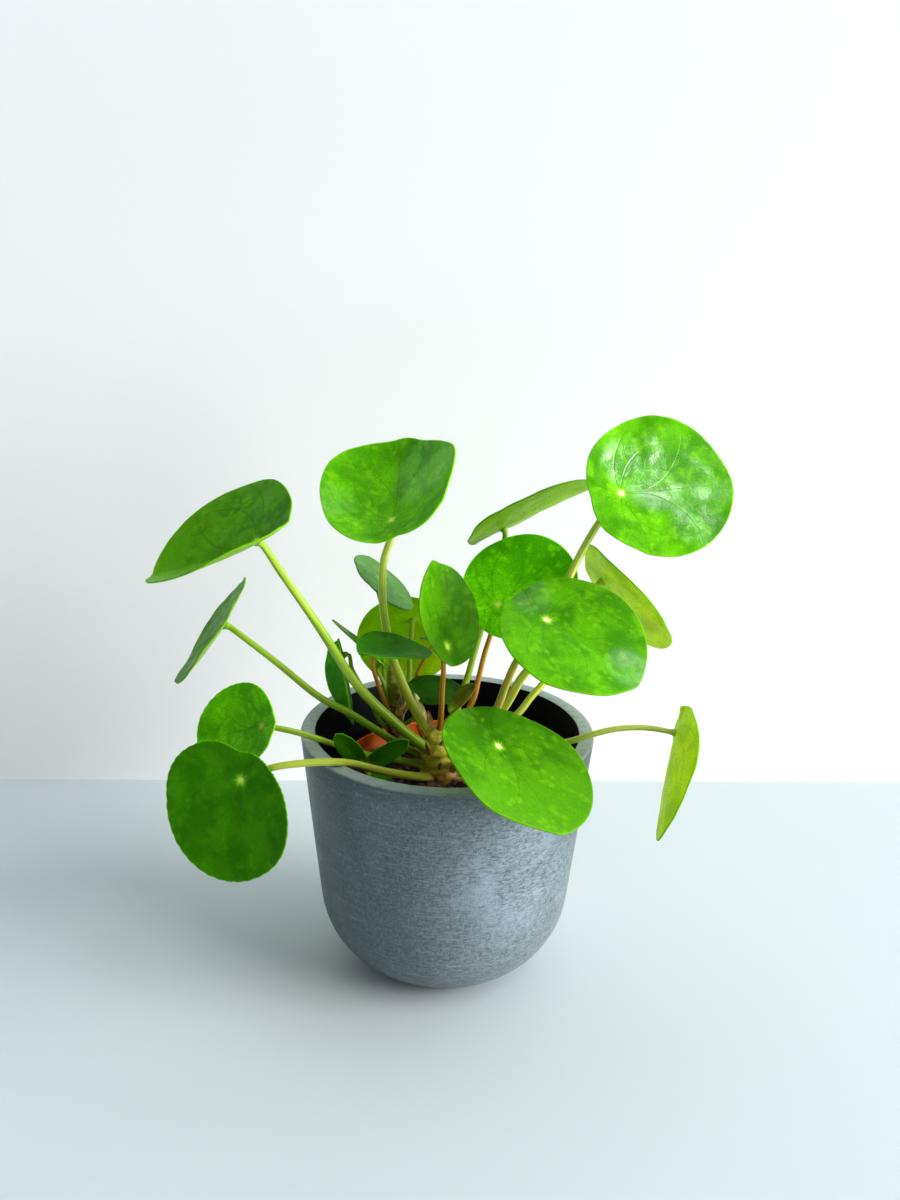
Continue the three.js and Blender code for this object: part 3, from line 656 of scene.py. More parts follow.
# at: where the stalk meets the blade, mm; faces: way the upper face looks, degrees from the front;
# rises: angle of that way above level; tip: way the tip points, degrees from straight downhill;
# size: length and width; seat: how far along the blade the stalk is fixed; fold: lift of each half
# along the midrib, degrees; droop: bend to the tip, degrees; dish: lift of the edge; thick: stalk
# radii; edge: bulges of the outline as (degrees from the tip, out mm, spread in degrees);
# route: the stalk's line; stalk: its finish; wrinkle: unevenness, mm; scallop: waves of the edge,
# mm; steps: faces round the blade and out to its edge; look: kind is one of the looks below, and
# the rest changes it
leaves = {
    "high_left": {
        "at": (-91, -30, 238), "faces": -53, "rises": 35, "tip": -52, "size": (87, 81),
        "seat": 0.28, "fold": (-5, 49), "droop": -23, "thick": (2.9, 1.7),
        "look": {"kind": "mid", "tone": 1.3, "net": 0.2, "shine": 0.06, "paintedShade": (180, 0.3)},
        "edge": [(-93, 0.8, 20), (-27, -1, 20)],
        "route": [(-5, -2, 116), (-24, -7, 134), (-44, -13, 157.5), (-63, -18, 190.5),
                  (-81, -24, 221.5)],
    },
    "high_middle": {
        "at": (-29, 0, 241), "faces": -53, "rises": 58, "tip": 218, "size": (66, 71), "seat": 0.28,
        "fold": (4, 20), "dish": 0.098, "thick": (2.7, 1.7), "stalk": "yellow",
        "look": {"kind": "mid", "tone": 1.8, "net": 0.2,
                 "sheen": [(0.4, -0.25, 0.35, 0.3), (0.1, 0.45, 0.2, 0.3)]},
        "edge": [(-3, 0.6, 7), (-50, 2.5, 10), (-78, -1.4, 15), (-115, 6.7, 28), (115, 2.1, 25),
                 (45, 1.8, 25), (140, 1.9, 20), (-20, -2.2, 12)],
        "route": [(-6, 2, 120), (-14, 4, 133.5), (-19.5, 6, 143.5), (-28.5, 9, 164.5),
                  (-32, 10.5, 180), (-34, 10, 196.5), (-33.5, 8, 217)],
    },
    "high_right": {
        "at": (81, -5, 258), "faces": 20, "rises": 40, "tip": 88, "size": (73, 73), "seat": 0.24,
        "fold": (-4, 8), "dish": 0.04, "thick": (2.6, 1.7), "stalk": "yellow", "wrinkle": 0.5,
        "look": {"kind": "bright", "tone": 1.25, "relief": 0.45, "ribs": 0.22, "coat": 0.15,
                 "sheen": [(0.3, 0.14, 0.34, 1.0), (0.6, 0.1, 0.3, 1.0), (0.5, -0.22, 0.24, 0.7),
                           (0.06, 0.2, 0.2, 0.8)]},
        "edge": [(0, 1.7, 12), (-60, -1.9, 25), (60, 1, 25), (120, 1.9, 30), (-90, -2.1, 20),
                 (180, -0.9, 30)],
        "route": [(2, 4, 112), (27.5, 2, 140.5), (36.5, 0, 158.5), (42, -2, 168), (50, -6, 190.5),
                  (58, -6, 215), (69, -2, 238)],
    },
    "middle_right": {
        "at": (46, -34, 203), "faces": 32, "rises": 67, "tip": 28, "size": (72, 74), "seat": 0.28,
        "fold": (5, 18), "dish": -0.042, "thick": (2.4, 1.6), "stalk": "tan",
        "look": {"kind": "bright", "tone": 0.95,
                 "sheen": [(0.62, 0.05, 0.2, 0.6), (-0.2, 0.1, 0.2, 0.35)]},
        "edge": [(0, 0.9, 8), (-40, -1.2, 16), (-80, 2, 26), (100, 1.2, 30), (180, 0.6, 40)],
        "route": [(2, 0, 108), (24, -6, 143.5), (29, -10, 160), (33.5, -15, 174.5)],
    },
    "front": {
        "at": (24, -60, 149), "faces": 60, "rises": 60, "tip": -19, "size": (77, 79), "seat": 0.3,
        "fold": (6, 4), "droop": 5, "dish": 0.019, "thick": (2.4, 1.6), "stalk": "tan",
        "wrinkle": 0.12,
        "look": {"kind": "bright", "tone": 0.72, "ribs": 0.32, "flecks": 0.6, "paintedShade": (180, 0.6)},
        "edge": [(-2, 1.2, 7), (-22, -2.4, 18), (-52, 2.2, 14), (-80, 1, 30), (180, 2.2, 30),
                 (-120, 1, 30)],
        "route": [(2, -3, 108), (10, -22, 128), (17, -44, 140)],
    },
    "low_left_front": {
        "at": (-99, -48, 123), "faces": -20, "rises": 8, "tip": -12, "size": (71, 61), "seat": 0.27,
        "fold": (2, 6), "dish": 0.02, "thick": (2.3, 1.6), "stalk": "yellow", "scallop": 0.35,
        "steps": (264, 26),
        "look": {"kind": "deep", "tone": 1.5},
        "edge": [(-85, 7.3, 35), (-40, 2.7, 25), (50, 3.1, 25), (110, -2.7, 25), (155, -3, 30),
                 (-165, -4.5, 25)],
        "route": [(-4, -3, 104), (-20, -20, 113.5), (-36, -35, 124), (-45, -42.5, 130),
                  (-54, -47.5, 133.2), (-66, -50, 133.8), (-82, -50.5, 131.5)],
    },
    "left_edge": {
        "at": (-113, 0, 185), "faces": -80, "rises": 24, "tip": -43, "size": (61, 65), "seat": 0.32,
        "fold": (-10, 17), "droop": -10, "dish": 0.017, "thick": (2.2, 1.5),
        "look": {"kind": "mid"},
        "route": [(-5, 3, 110), (-24, 1, 120.5), (-50, -1, 138.5), (-65, -2, 147.5), (-85, -3, 165),
                  (-104.5, -2, 180.5)],
    },
    "low_left_rear": {
        "at": (-91, -28, 143), "faces": -49, "rises": 24, "tip": -59, "size": (53, 50),
        "seat": 0.21, "fold": (3, 10), "droop": -10, "dish": 0.037, "thick": (2, 1.4),
        "scallop": 0.35, "steps": (240, 26),
        "look": {"kind": "mid", "tone": 2.4, "net": 0.15, "relief": 0.25},
        "edge": [(-125, -2, 30), (90, -3.1, 25), (165, -0.8, 30), (-60, -1, 25)],
        "route": [(-6, 0, 107), (-24, -2, 113.5), (-39.5, -5, 117), (-50.5, -9, 122),
                  (-57.5, -15, 127.5), (-64, -22, 133.5), (-72.5, -25.5, 138), (-80, -26, 140)],
    },
    "far_right": {
        "at": (113, -25, 142), "faces": 78, "rises": -8, "tip": -39, "size": (64, 65), "seat": 0.21,
        "fold": (13, -4), "droop": 15, "dish": 0.055, "thick": (2, 1.3), "stalk": "yellow",
        # under is partly the underside's own paler green and partly painted light, made bright for
        # light shining through the leaf
        "look": {"kind": "bright", "under": (0.78, 0.9, 0.012)},
        "edge": [(0, 1.5, 12)],
        "route": [(2, 0, 107), (42, -14, 126), (62.5, -22, 135.5), (70.5, -25, 140),
                  (82.5, -26, 144), (97, -26, 145)],
    },
    "right_rear": {
        "at": (80, 40, 199), "faces": 113, "rises": 24, "tip": -53, "size": (68, 67), "seat": 0.29,
        "fold": (-9, 1), "droop": -7, "dish": 0.048, "thick": (2.1, 1.5), "stalk": "yellow",
        # under is partly the underside's own paler green and partly painted light, made bright for
        # light shining through the leaf
        "look": {"kind": "bright", "under": (0.74, 0.88, 0.012)},
        "edge": [(0, 1, 12), (110, 1, 25)],
        "route": [(2, 6, 109), (36, 8, 136), (43, 11, 144.5), (50, 15, 152), (64, 29, 172)],
    },
    "centre_rear": {
        "at": (25, 22, 191), "faces": -14, "rises": 42, "tip": 139, "size": (62, 58), "seat": 0.27,
        "fold": (3, 6), "dish": 0.009, "thick": (1.7, 1.2), "stalk": "brown",
        "look": {"kind": "mid", "tone": 2.8, "net": 0.42, "paintedShade": (0, 0.5)},
        "edge": [(40, -1.5, 20), (-90, 0.9, 25), (-140, -0.9, 25), (180, -2.1, 25)],
        "route": [(-2, 6, 118), (9.5, 12, 134.5), (13.5, 15, 142), (15.5, 18, 150.5),
                  (18.5, 21.5, 163.5)],
    },
    "high_rear": {
        "at": (27, 50, 224), "faces": -130, "rises": 55, "tip": -148, "size": (73, 67),
        "seat": 0.27, "fold": (7, 3), "droop": 9, "dish": 0.023, "thick": (2, 1.4),
        "look": {"kind": "mid", "under": (0.26, 0.5, 0.008)},
        "edge": [(0, 2, 14)],
        "route": [(-1, 8, 112), (4, 20, 129.5), (6.5, 28, 135), (8, 31, 139.5), (10, 34, 145),
                  (14, 39.5, 159), (17.5, 43, 171.5), (23, 48, 195)],
    },
    "centre_cupped": {
        "at": (-1, -14, 181), "faces": 62, "rises": 31, "tip": 158, "size": (51, 47), "seat": 0.2,
        "fold": (10, 5), "dish": 0.06, "thick": (1.6, 1.2), "stalk": "brown",
        "look": {"kind": "mid", "tone": 0.95, "paintedShade": (-90, 0.6),
                 "sheen": [(0.0, 0.25, 0.25, 0.5)]},
        "edge": [(11, 2, 6), (38, -2.7, 16), (109, -2.9, 22), (-55, -0.7, 30)],
        "route": [(-5, 3, 124), (-3.5, -2, 136.5), (-3, -8, 155.5), (-2.5, -12, 170.5)],
    },
    "rear_round": {
        "at": (-20, 48, 172), "faces": -177, "rises": 15, "tip": 12, "size": (56, 54), "seat": 0.26,
        "fold": (2, 2), "droop": 4, "thick": (1.7, 1.2),
        # under is partly the underside's own paler green and partly painted light, made bright for
        # light shining through the leaf
        "look": {"kind": "bright", "under": (0.42, 0.66, 0.003)},
        "edge": [(0, 1, 14), (-90, 1, 25)],
        "route": [(-27, 29, 112), (-24.5, 35, 124), (-23, 38, 133), (-21, 41, 143.5),
                  (-21, 43.5, 154)],
    },
    "small_grey": {
        "at": (-36, 31, 200), "faces": 83, "rises": 50, "tip": -9, "size": (40, 36), "seat": 0.45,
        "fold": (1, 1), "thick": (1.3, 1),
        "look": {"kind": "grey"},
        "route": [(-28, 28, 114), (-32.5, 29, 129), (-34, 31, 138.5), (-34.5, 32, 152.5),
                  (-35, 31, 182)],
    },
    "boat": {
        "at": (-37, -14, 177), "faces": 110, "rises": 80, "tip": 12, "size": (39, 33), "seat": 0.22,
        "fold": (10, 22), "thick": (1.3, 1), "stalk": "brown",
        "look": {"kind": "deep", "dot": 0, "tone": 1.5},
        "edge": [(0, 3, 13), (30, -1, 18), (-30, -1, 18)],
        "route": [(-28, 24, 116), (-31.5, 15, 134), (-35, 7, 148.5), (-38, -7, 167.5)],
    },
    "left_folded": {
        "at": (-55, 20, 162), "faces": -80, "rises": -12, "tip": 6, "size": (44, 36), "seat": 0.18,
        "fold": (40, 8), "droop": -8, "thick": (1.4, 1),
        "look": {"kind": "deep", "tone": 2.4},
        "edge": [(180, 1.5, 20), (0, 1.5, 15)],
        "route": [(-28, 25, 116), (-35.5, 24, 123), (-40, 23, 133), (-46, 22, 145),
                  (-50.5, 21, 154.5)],
    },
    "narrow_left": {
        "at": (-35.5, 18.5, 159), "faces": 106, "rises": 47, "tip": 162, "size": (38, 20),
        "seat": 0.12, "fold": (4, 4), "thick": (1.2, 0.9),
        "look": {"kind": "mid"},
        "route": [(-28, 25, 118), (-31.5, 22, 132), (-33.5, 20, 146)],
    },
    "small_middle": {
        "at": (-9, 22, 172), "faces": -137, "rises": 76, "tip": -175, "size": (22, 18),
        "seat": 0.27, "fold": (10, 10), "thick": (1.2, 0.9), "stalk": "brown",
        "look": {"kind": "grey"},
        "route": [(-28, 26, 122), (-22, 31, 128.5), (-18.5, 32.5, 138), (-16, 29, 151)],
    },
    "inner_dark": {
        "at": (-13.5, 17, 145), "faces": 25, "rises": 75, "tip": 64, "size": (30, 26), "seat": 0.27,
        "fold": (4, 4), "thick": (1.3, 1),
        "look": {"kind": "deep", "dot": 0, "tone": 0.62},
        "edge": [(0, 2.5, 15), (180, 2.5, 20), (40, -1, 20), (-40, -1, 20)],
        "route": [(-28, 25, 118), (-16.5, 20, 129)],
    },
    "youngest": {
        "at": (2, -0.5, 141.5), "faces": -39, "rises": 37, "tip": 155, "size": (20, 10),
        "seat": 0.1, "fold": (30, 30), "thick": (1, 0.8),
        "look": {"kind": "olive"},
        "route": [(-5, 3, 124), (-1, 1.5, 134)],
    },
}
# what a leaf has where it doesn't say otherwise
usualLeaf = {
    "droop": 0, "dish": 0, "edge": [], "stalk": "green", "wrinkle": 0.28, "scallop": 0,
    "steps": (96, 26), "thickness": 0.8,
}
smallLeaf = {"under": 45, "steps": (64, 16)}  # a blade shorter than this takes fewer steps
# a stalk runs on into the crown, is swollen there and widens into the blade
stalkEnds = {"rooted": 4, "flare": 0.9, "flareLength": 1.6, "swollen": 0.2, "swollenLength": 9}

# colours: deep and fresh are the two greens that mix, fleck the soft pale flecks, rib the main
# veins, vein the fine net, rim the edge, under and underRib the lower side; flecks, ribs and net
# say how strong those are; gloss is the roughness, shine the strength of the reflection
looks = {
    "bright": {
        "deep": (0.045, 0.24, 0.0006), "fresh": (0.1, 0.4, 0.0008), "fleck": (0.2, 0.58, 0.002),
        "rib": (0.03, 0.16, 0.0005), "vein": (0.035, 0.18, 0.0005), "rim": (0.22, 0.55, 0.004),
        "under": (0.3, 0.56, 0.004), "underRib": (0.42, 0.62, 0.02),
        "flecks": 0.45, "ribs": 0.3, "net": 0.22, "gloss": 0.42, "shine": 0.1,
        "seat": (0.88, 0.98, 0.38),
    },
    "mid": {
        "deep": (0.04, 0.2, 0.0006), "fresh": (0.09, 0.33, 0.0008), "fleck": (0.17, 0.47, 0.002),
        "rib": (0.02, 0.11, 0.0005), "vein": (0.022, 0.12, 0.0005), "rim": (0.17, 0.46, 0.003),
        "under": (0.2, 0.42, 0.02), "underRib": (0.26, 0.48, 0.03),
        "flecks": 0.4, "ribs": 0.4, "net": 0.35, "gloss": 0.42, "shine": 0.12,
    },
    "deep": {
        "deep": (0.02, 0.13, 0.0004), "fresh": (0.038, 0.19, 0.0006), "fleck": (0.07, 0.27, 0.001),
        "rib": (0.014, 0.09, 0.0004), "vein": (0.014, 0.09, 0.0004), "rim": (0.1, 0.36, 0.002),
        "under": (0.08, 0.24, 0.02), "underRib": (0.12, 0.3, 0.02),
        "flecks": 0.3, "ribs": 0.25, "net": 0.2, "gloss": 0.45, "shine": 0.1,
    },
    "grey": {
        "deep": (0.06, 0.2, 0.035), "fresh": (0.1, 0.28, 0.055), "fleck": (0.16, 0.36, 0.08),
        "rib": (0.06, 0.2, 0.06), "vein": (0.05, 0.17, 0.05), "rim": (0.14, 0.34, 0.1),
        "under": (0.14, 0.34, 0.12), "underRib": (0.1, 0.26, 0.07),
        "flecks": 0.2, "ribs": 0.3, "net": 0.12, "gloss": 0.5, "shine": 0.3,
    },
    "olive": {
        "deep": (0.13, 0.14, 0.006), "fresh": (0.22, 0.26, 0.01), "fleck": (0.3, 0.34, 0.015),
        "rib": (0.16, 0.2, 0.01), "vein": (0.1, 0.1, 0.005), "rim": (0.45, 0.2, 0.02),
        "under": (0.2, 0.26, 0.012), "underRib": (0.14, 0.18, 0.01),
        "flecks": 0.2, "ribs": 0.3, "net": 0.1, "gloss": 0.45, "shine": 0.3,
    },
}
# tone multiplies the greens, partly the leaf's own green and partly painted light that sets how
# light or dark each leaf looks; paintedShade is painted shade, darkening the half that way,
# degrees from the tip, by an amount, as if turned from the light; dot and seat are the pale dot's
# strength and colour; sheen lists glossy zones as (x, y, radius, amount), shares of the length
# from the seat, and coat is how rough their coat is
usualLook = {
    "tone": 1, "paintedShade": (0, 0), "dot": 1, "seat": (0.66, 0.98, 0.13), "relief": 0.35,
    "sheen": [], "coat": 0.2,
}
skin = {
    "specular": (0.6, 0.95, 0.3, 1), "coatIor": 1.9, "depth": 0.00035,
    "glow": (0.6, 1.0, 0.06), "glowDepth": 0.0022, "glowTop": 0.25, "glowUnder": 0.6,
    # the midrib's and the side veins' width and the circles they run along, shares of the length
    "midrib": 0.011, "sideVein": 0.0085,
    "sideVeins": [((0.385, -0.0485), 0.388), ((0.358, 0.137), 0.383), ((0.06, 0.42), 0.424)],
    # cells per mm
    "net": 0.16, "fineNet": 0.38, "flecks": 0.2, "pillows": 0.22,
    "dotSize": 2.5, "ringSize": 4.6, "ring": (0.3, 0.68, 0.01),
}


def reach(leaf, angle):  # from the seat to the edge: an egg shape, drawn off its centre
    length, width = leaf["size"]
    a, b, off = length / 2, width / 2, length * (0.5 - leaf["seat"])
    c, s = cos(angle), sin(angle)
    p, q, r = (c / a) ** 2 + (s / b) ** 2, -off * c / a ** 2, (off / a) ** 2 - 1
    far = (-q + sqrt(q * q - p * r)) / p
    for turn, out, spread in leaf["edge"]:
        apart = (angle - radians(turn) + pi) % (2 * pi) - pi
        far += out * exp(-(apart / radians(spread)) ** 2)
    return far + leaf["scallop"] * (abs(sin(26 * angle + 0.8 * sin(3 * angle))) - 0.6)


def bladePoint(leaf, angle, share):  # seat at the origin, tip along +X, upper face along +Z, mm
    length = leaf["size"][0]
    far = share * reach(leaf, angle)
    x, y = far * cos(angle), far * sin(angle)
    fold = radians(leaf["fold"][0 if y < 0 else 1])
    crease = hypot(y, 0.04 * length) - 0.04 * length
    wave = 0.008 * length * share ** 2 * sin(5 * angle + length)
    z = crease * sin(fold) + leaf["dish"] * 4 * far ** 2 / length + wave
    ripple = leaf["wrinkle"]
    at = Vector((x, y, length)) / 7.5
    z += ripple * (noise.noise(at) + 0.5 * noise.noise(at * 2.3)) * min(1, far / 5)
    z += ripple * 1.3 * share ** 6 * noise.noise(Vector((cos(angle) * 3, sin(angle) * 3, length)))
    z -= 0.45 * exp(-(far / 1.8) ** 2)  # the blade dips where it is fixed
    if not leaf["droop"]:
        return Vector((x, y * cos(fold), z))
    bend = (1 - leaf["seat"]) * length / radians(leaf["droop"])
    return Vector(((bend + z) * sin(x / bend), y * cos(fold), (bend + z) * cos(x / bend) - bend))


def stance(leaf):  # the way its upper face looks, and the matrix that stands it in its place
    f, r = radians(leaf["faces"]), radians(leaf["rises"])
    up = Vector((sin(f) * cos(r), -cos(f) * cos(r), sin(r)))
    downhill = Vector((sin(f) * sin(r), -cos(f) * sin(r), -cos(r)))
    forward = Matrix.Rotation(radians(leaf["tip"]), 3, up) @ downhill
    turned = Matrix((forward, up.cross(forward), up)).transposed().to_4x4()
    return up, Matrix.Translation(Vector(leaf["at"]) * mm) @ turned


def arcVein(m, flat, centre, radius):  # a vein along a circle, flat being (x, |y|) from the seat
    off = calc(m, "ABSOLUTE", calc(m, "SUBTRACT", farFrom(m, flat, (*centre, 0)), radius))
    return between(m, off, skin["sideVein"], skin["sideVein"] * 0.2)


def leafFinish(name, leaf, under):
    look = {**usualLook, **looks[leaf["look"]["kind"]], **leaf["look"]}
    length = leaf["size"][0]
    # tone: partly the leaf's own green, partly painted light that makes each leaf as light or dark as
    # it looks where it stands
    tone = 1 if under else look["tone"]

    def tint(colour):
        return tuple(c * tone for c in look[colour])
    m, shader = newFinish(name, Specular_IOR_Level=look["shine"] * (0.4 if under else 1),
                          Specular_Tint=skin["specular"], Coat_Weight=0, Coat_IOR=skin["coatIor"],
                          Coat_Roughness=look["coat"], Subsurface_Radius=skin["glow"],
                          Subsurface_Weight=skin["glowUnder" if under else "glowTop"],
                          Subsurface_Scale=skin["glowDepth"])
    uv = node(m, "UVMap", {"uv_map": "blade"}).outputs[0]
    place = stretched(m, uv, (1, 1, 1), (-0.5, -0.5, 0))  # shares of the length, from the seat
    shift = (random.random() * 900, random.random() * 900, 0)
    inMm = stretched(m, uv, (length, length, 1), shift)
    x, y = node(m, "SeparateXYZ", None, Vector=place).outputs[:2]
    flat = node(m, "CombineXYZ", None, X=x, Y=calc(m, "ABSOLUTE", y)).outputs[0]
    far = times(m, farFrom(m, place, (0, 0, 0)), length)  # mm from the seat
    warp = node(m, "TexNoise", None, Vector=inMm, Scale=0.14, Detail=2.0).outputs["Color"]
    bent = vectorCalc(m, "MULTIPLY_ADD", warp, (6, 6, 0), inMm).outputs[0]

    ribs = between(m, calc(m, "ABSOLUTE", y), skin["midrib"], skin["midrib"] / 11)
    ribs = times(m, ribs, between(m, x, -0.14, 0.02))
    for centre, radius in skin["sideVeins"]:
        ribs = calc(m, "MAXIMUM", ribs, arcVein(m, flat, centre, radius))
    ribs = times(m, ribs, between(m, far, length * 0.66, length * 0.3, 0.25, 1.0))
    net = between(m, cells(m, bent, skin["net"], "DISTANCE_TO_EDGE"), 0.07, 0.0)
    fineNet = between(m, cells(m, bent, skin["fineNet"], "DISTANCE_TO_EDGE"), 0.1, 0.0)
    veins = calc(m, "MAXIMUM", net, times(m, fineNet, 0.5))
    clouds = noiseOf(m, inMm, 0.06, 4, 0.6, 0.4)
    fleck = times(m, between(m, cells(m, bent, skin["flecks"], "SMOOTH_F1"), 0.42, 0.12),
                  between(m, noiseOf(m, inMm, 0.07, 2, 0.5), 0.42, 0.62))
    grain = noiseOf(m, inMm, 1.1, 3, 0.65)
    edge = node(m, "Attribute", {"attribute_name": "edge"}).outputs["Fac"]

    if under:
        body = stain(m, tint("under"), tuple(c * 0.75 for c in tint("under")), clouds, 0.35, 0.65)
        body = blend(m, times(m, veins, 0.25), body, tint("underRib"))
        body = blend(m, times(m, ribs, 0.6), body, tint("underRib"))
    else:
        # painted shade: one half of the blade is pushed towards the deep green, as if turned from the
        # light
        turn, amount = radians(look["paintedShade"][0]), look["paintedShade"][1]
        across = calc(m, "MULTIPLY_ADD", x, cos(turn), times(m, y, sin(turn)))
        clouds = calc(m, "SUBTRACT", between(m, clouds, 0.3, 0.7), times(m, across, 2 * amount))
        body = stain(m, tint("deep"), tint("fresh"), clouds, 0.0, 1.0)
        body = blend(m, times(m, fleck, look["flecks"]), body, tint("fleck"))
        body = blend(m, times(m, veins, look["net"]), body, tint("vein"))
        body = blend(m, times(m, ribs, look["ribs"]), body, tint("rib"))
    body = blend(m, 1.0, body, between(m, grain, 0.3, 0.7, 0.84, 1.16), "MULTIPLY")
    body = stain(m, body, tint("rim"), edge, 0.984, 0.997, 0.5)
    if not under:  # the pale dot, uneven round its edge, where the stalk is fixed below
        way = vectorCalc(m, "NORMALIZE", place).outputs[0]
        uneven = between(m, noiseOf(m, way, 2.6, 2, 0.6), 0.38, 0.62, 1.2, 0.85)
        star = times(m, far, uneven)
        body = stain(m, body, skin["ring"], star, skin["ringSize"], 1.0, 0.8 * look["dot"])
        body = stain(m, body, look["seat"], star, skin["dotSize"], 0.8, look["dot"])
    feed(m, shader.inputs["Base Color"], body)

    patchy = noiseOf(m, inMm, 0.16, 3, 0.6, 0.5)
    rough = between(m, patchy, 0.35, 0.65, look["gloss"] - 0.06, look["gloss"] + 0.16)
    feed(m, shader.inputs["Roughness"], rough)
    pillow = between(m, cells(m, bent, skin["pillows"], "SMOOTH_F1"), 0.0, 0.7, 1.0, 0.0)
    creased = noiseOf(m, inMm, 0.22, 5, 0.62, 1.2)
    height = calc(m, "MULTIPLY_ADD", creased, 1.1, times(m, grain, 0.15))
    height = calc(m, "MULTIPLY_ADD", pillow, 0.25, height)
    sunk = calc(m, "MAXIMUM", ribs, times(m, veins, 0.3))
    sunk = times(m, sunk, 0.8 if under else -0.45)  # veins stand out below
    bumps = relief(m, shader, calc(m, "ADD", height, sunk), skin["depth"], look["relief"])
    if look["sheen"] and not under:
        glossy = 0.0
        for atX, atY, radius, amount in look["sheen"]:
            zone = between(m, farFrom(m, place, (atX, atY, 0)), radius, radius * 0.45, 0.0, amount)
            glossy = calc(m, "MAXIMUM", glossy, zone)
        broken = between(m, noiseOf(m, inMm, 0.1, 4, 0.65, 1.0), 0.32, 0.56, 0.35, 1.0)
        feed(m, shader.inputs["Coat Weight"], times(m, glossy, broken))
        feed(m, shader.inputs["Coat Normal"], bumps)
    return m


def leafFinishes(name, leaf):
    return [leafFinish(name + "_top", leaf, False), leafFinish(name + "_under", leaf, True)]


# each stalk: its upper part, its lower part, the pale streaks along it
stalks = {
    "green": ((0.3, 0.51, 0.02), (0.24, 0.41, 0.01), (0.52, 0.7, 0.11)),
    "yellow": ((0.58, 0.69, 0.06), (0.4, 0.44, 0.015), (0.82, 0.88, 0.3)),
    "tan": ((0.6, 0.57, 0.07), (0.48, 0.37, 0.03), (0.8, 0.74, 0.25)),
    "brown": ((0.6, 0.3, 0.03), (0.42, 0.1, 0.012), (0.78, 0.45, 0.09)),
}


def stalkFinish(name, young, old, streak):
    m, shader = newFinish(name, Roughness=0.38, Specular_IOR_Level=0.25, Specular_Tint=(1, 1, 0.7, 1),
                          Subsurface_Weight=0.3, Subsurface_Scale=0.002,
                          Subsurface_Radius=(0.8, 1.0, 0.1))
    grain = node(m, "Attribute", {"attribute_name": "grain"}).outputs["Vector"]
    far = node(m, "Attribute", {"attribute_name": "far"}).outputs["Fac"]
    lines = noiseOf(m, stretched(m, grain, (2.6, 2.6, 0.16)), 1, 3, 0.6)
    fine = noiseOf(m, stretched(m, grain, (8, 8, 0.5)), 1, 3, 0.6)
    clouds = noiseOf(m, grain, 0.5, 3, 0.5)
    body = stain(m, young, old, far, 0.55, 0.0)
    body = stain(m, body, old, clouds, 0.5, 0.7, 0.5)
    body = stain(m, body, streak, lines, 0.5, 0.64, 0.75)
    body = stain(m, body, old, lines, 0.46, 0.34, 0.45)
    body = stain(m, body, streak, fine, 0.56, 0.7, 0.4)
    feed(m, shader.inputs["Base Color"], body)
    relief(m, shader, calc(m, "MULTIPLY_ADD", lines, 0.6, fine), 0.0003, 0.4)
    return m


def bladePiece(name, leaf, finishes, slot, nodes=()):
    length = leaf["size"][0]
    up, stand = stance(leaf)
    bm = bmesh.new()
    edge = bm.verts.layers.float.new("edge")
    uv = bm.loops.layers.uv.new("blade")
    around, outward = leaf["steps"]
    made = bmesh.ops.create_grid(bm, x_segments=around, y_segments=outward, size=0.5)["verts"]
    for vert in made:  # across the grid is the angle, up it the share from seat to edge
        angle, share = (vert.co.x + 0.5) * 2 * pi, vert.co.y + 0.5
        share = 1 - (1 - share) ** 1.35  # narrow rings near the edge
        vert[edge] = share
        far = share * reach(leaf, angle) / length
        for loop in vert.link_loops:
            loop[uv].uv = (0.5 + far * cos(angle), 0.5 + far * sin(angle))
        vert.co = stand @ (bladePoint(leaf, angle, share) * mm)
    bmesh.ops.remove_doubles(bm, verts=made, dist=1e-6)
    bm.normal_update()
    if sum(face.normal.dot(up) for face in bm.faces) < 0:
        bmesh.ops.reverse_faces(bm, faces=bm.faces[:])
    thicken(piece(name, bm, finishes, slot, nodes), leaf["thickness"], 1)


def makeLeaf(name, given):
    leaf = {**usualLeaf, **given}
    if leaf["size"][0] < smallLeaf["under"]:
        leaf["steps"] = smallLeaf["steps"]
    cadNode = name + "_leaf"
    bladePiece(name + "_blade", leaf, leafFinishes(name, leaf), slotOf[cadNode], [cadNode])

    ends, seat, up = stalkEnds, Vector(leaf["at"]), stance(leaf)[0]
    route = [Vector(p) for p in leaf["route"]]
    root = route[0] - (route[1] - route[0]).normalized() * ends["rooted"]
    points = [root, *route, seat - up * 3, seat - up * 0.4]
    length = smoothLine(points)[1]

    def radiusAt(share, turn, far):
        flare = ends["flare"] * exp(-((length - far) / ends["flareLength"]) ** 2)
        swollen = ends["swollen"] * exp(-(far / ends["swollenLength"]) ** 2)
        return along(leaf["thick"], share) * (1 + swollen + 0.03 * sin(3 * turn + far * 0.11)) + flare
    bm = bmesh.new()
    farUp = bm.verts.layers.float.new("far")
    for vert in tube(bm, points, radiusAt, sides=16, step=1.8):
        vert[farUp] = min(1, (vert.co - points[0] * mm).length / (length * mm))
    cadNode = name + "_stalk"
    piece(name + "_petiole", bm, [stalkFinishes[leaf["stalk"]]], slotOf[cadNode], [cadNode])


stalkFinishes = {name: stalkFinish("stalk_" + name, *colours) for name, colours in stalks.items()}
slotOf = {part["node"]: part["material_slot"] for part in frame["record"]["subparts"]}
for name, leaf in leaves.items():
    makeLeaf(name, leaf)
print("leaves made:", len(leaves))


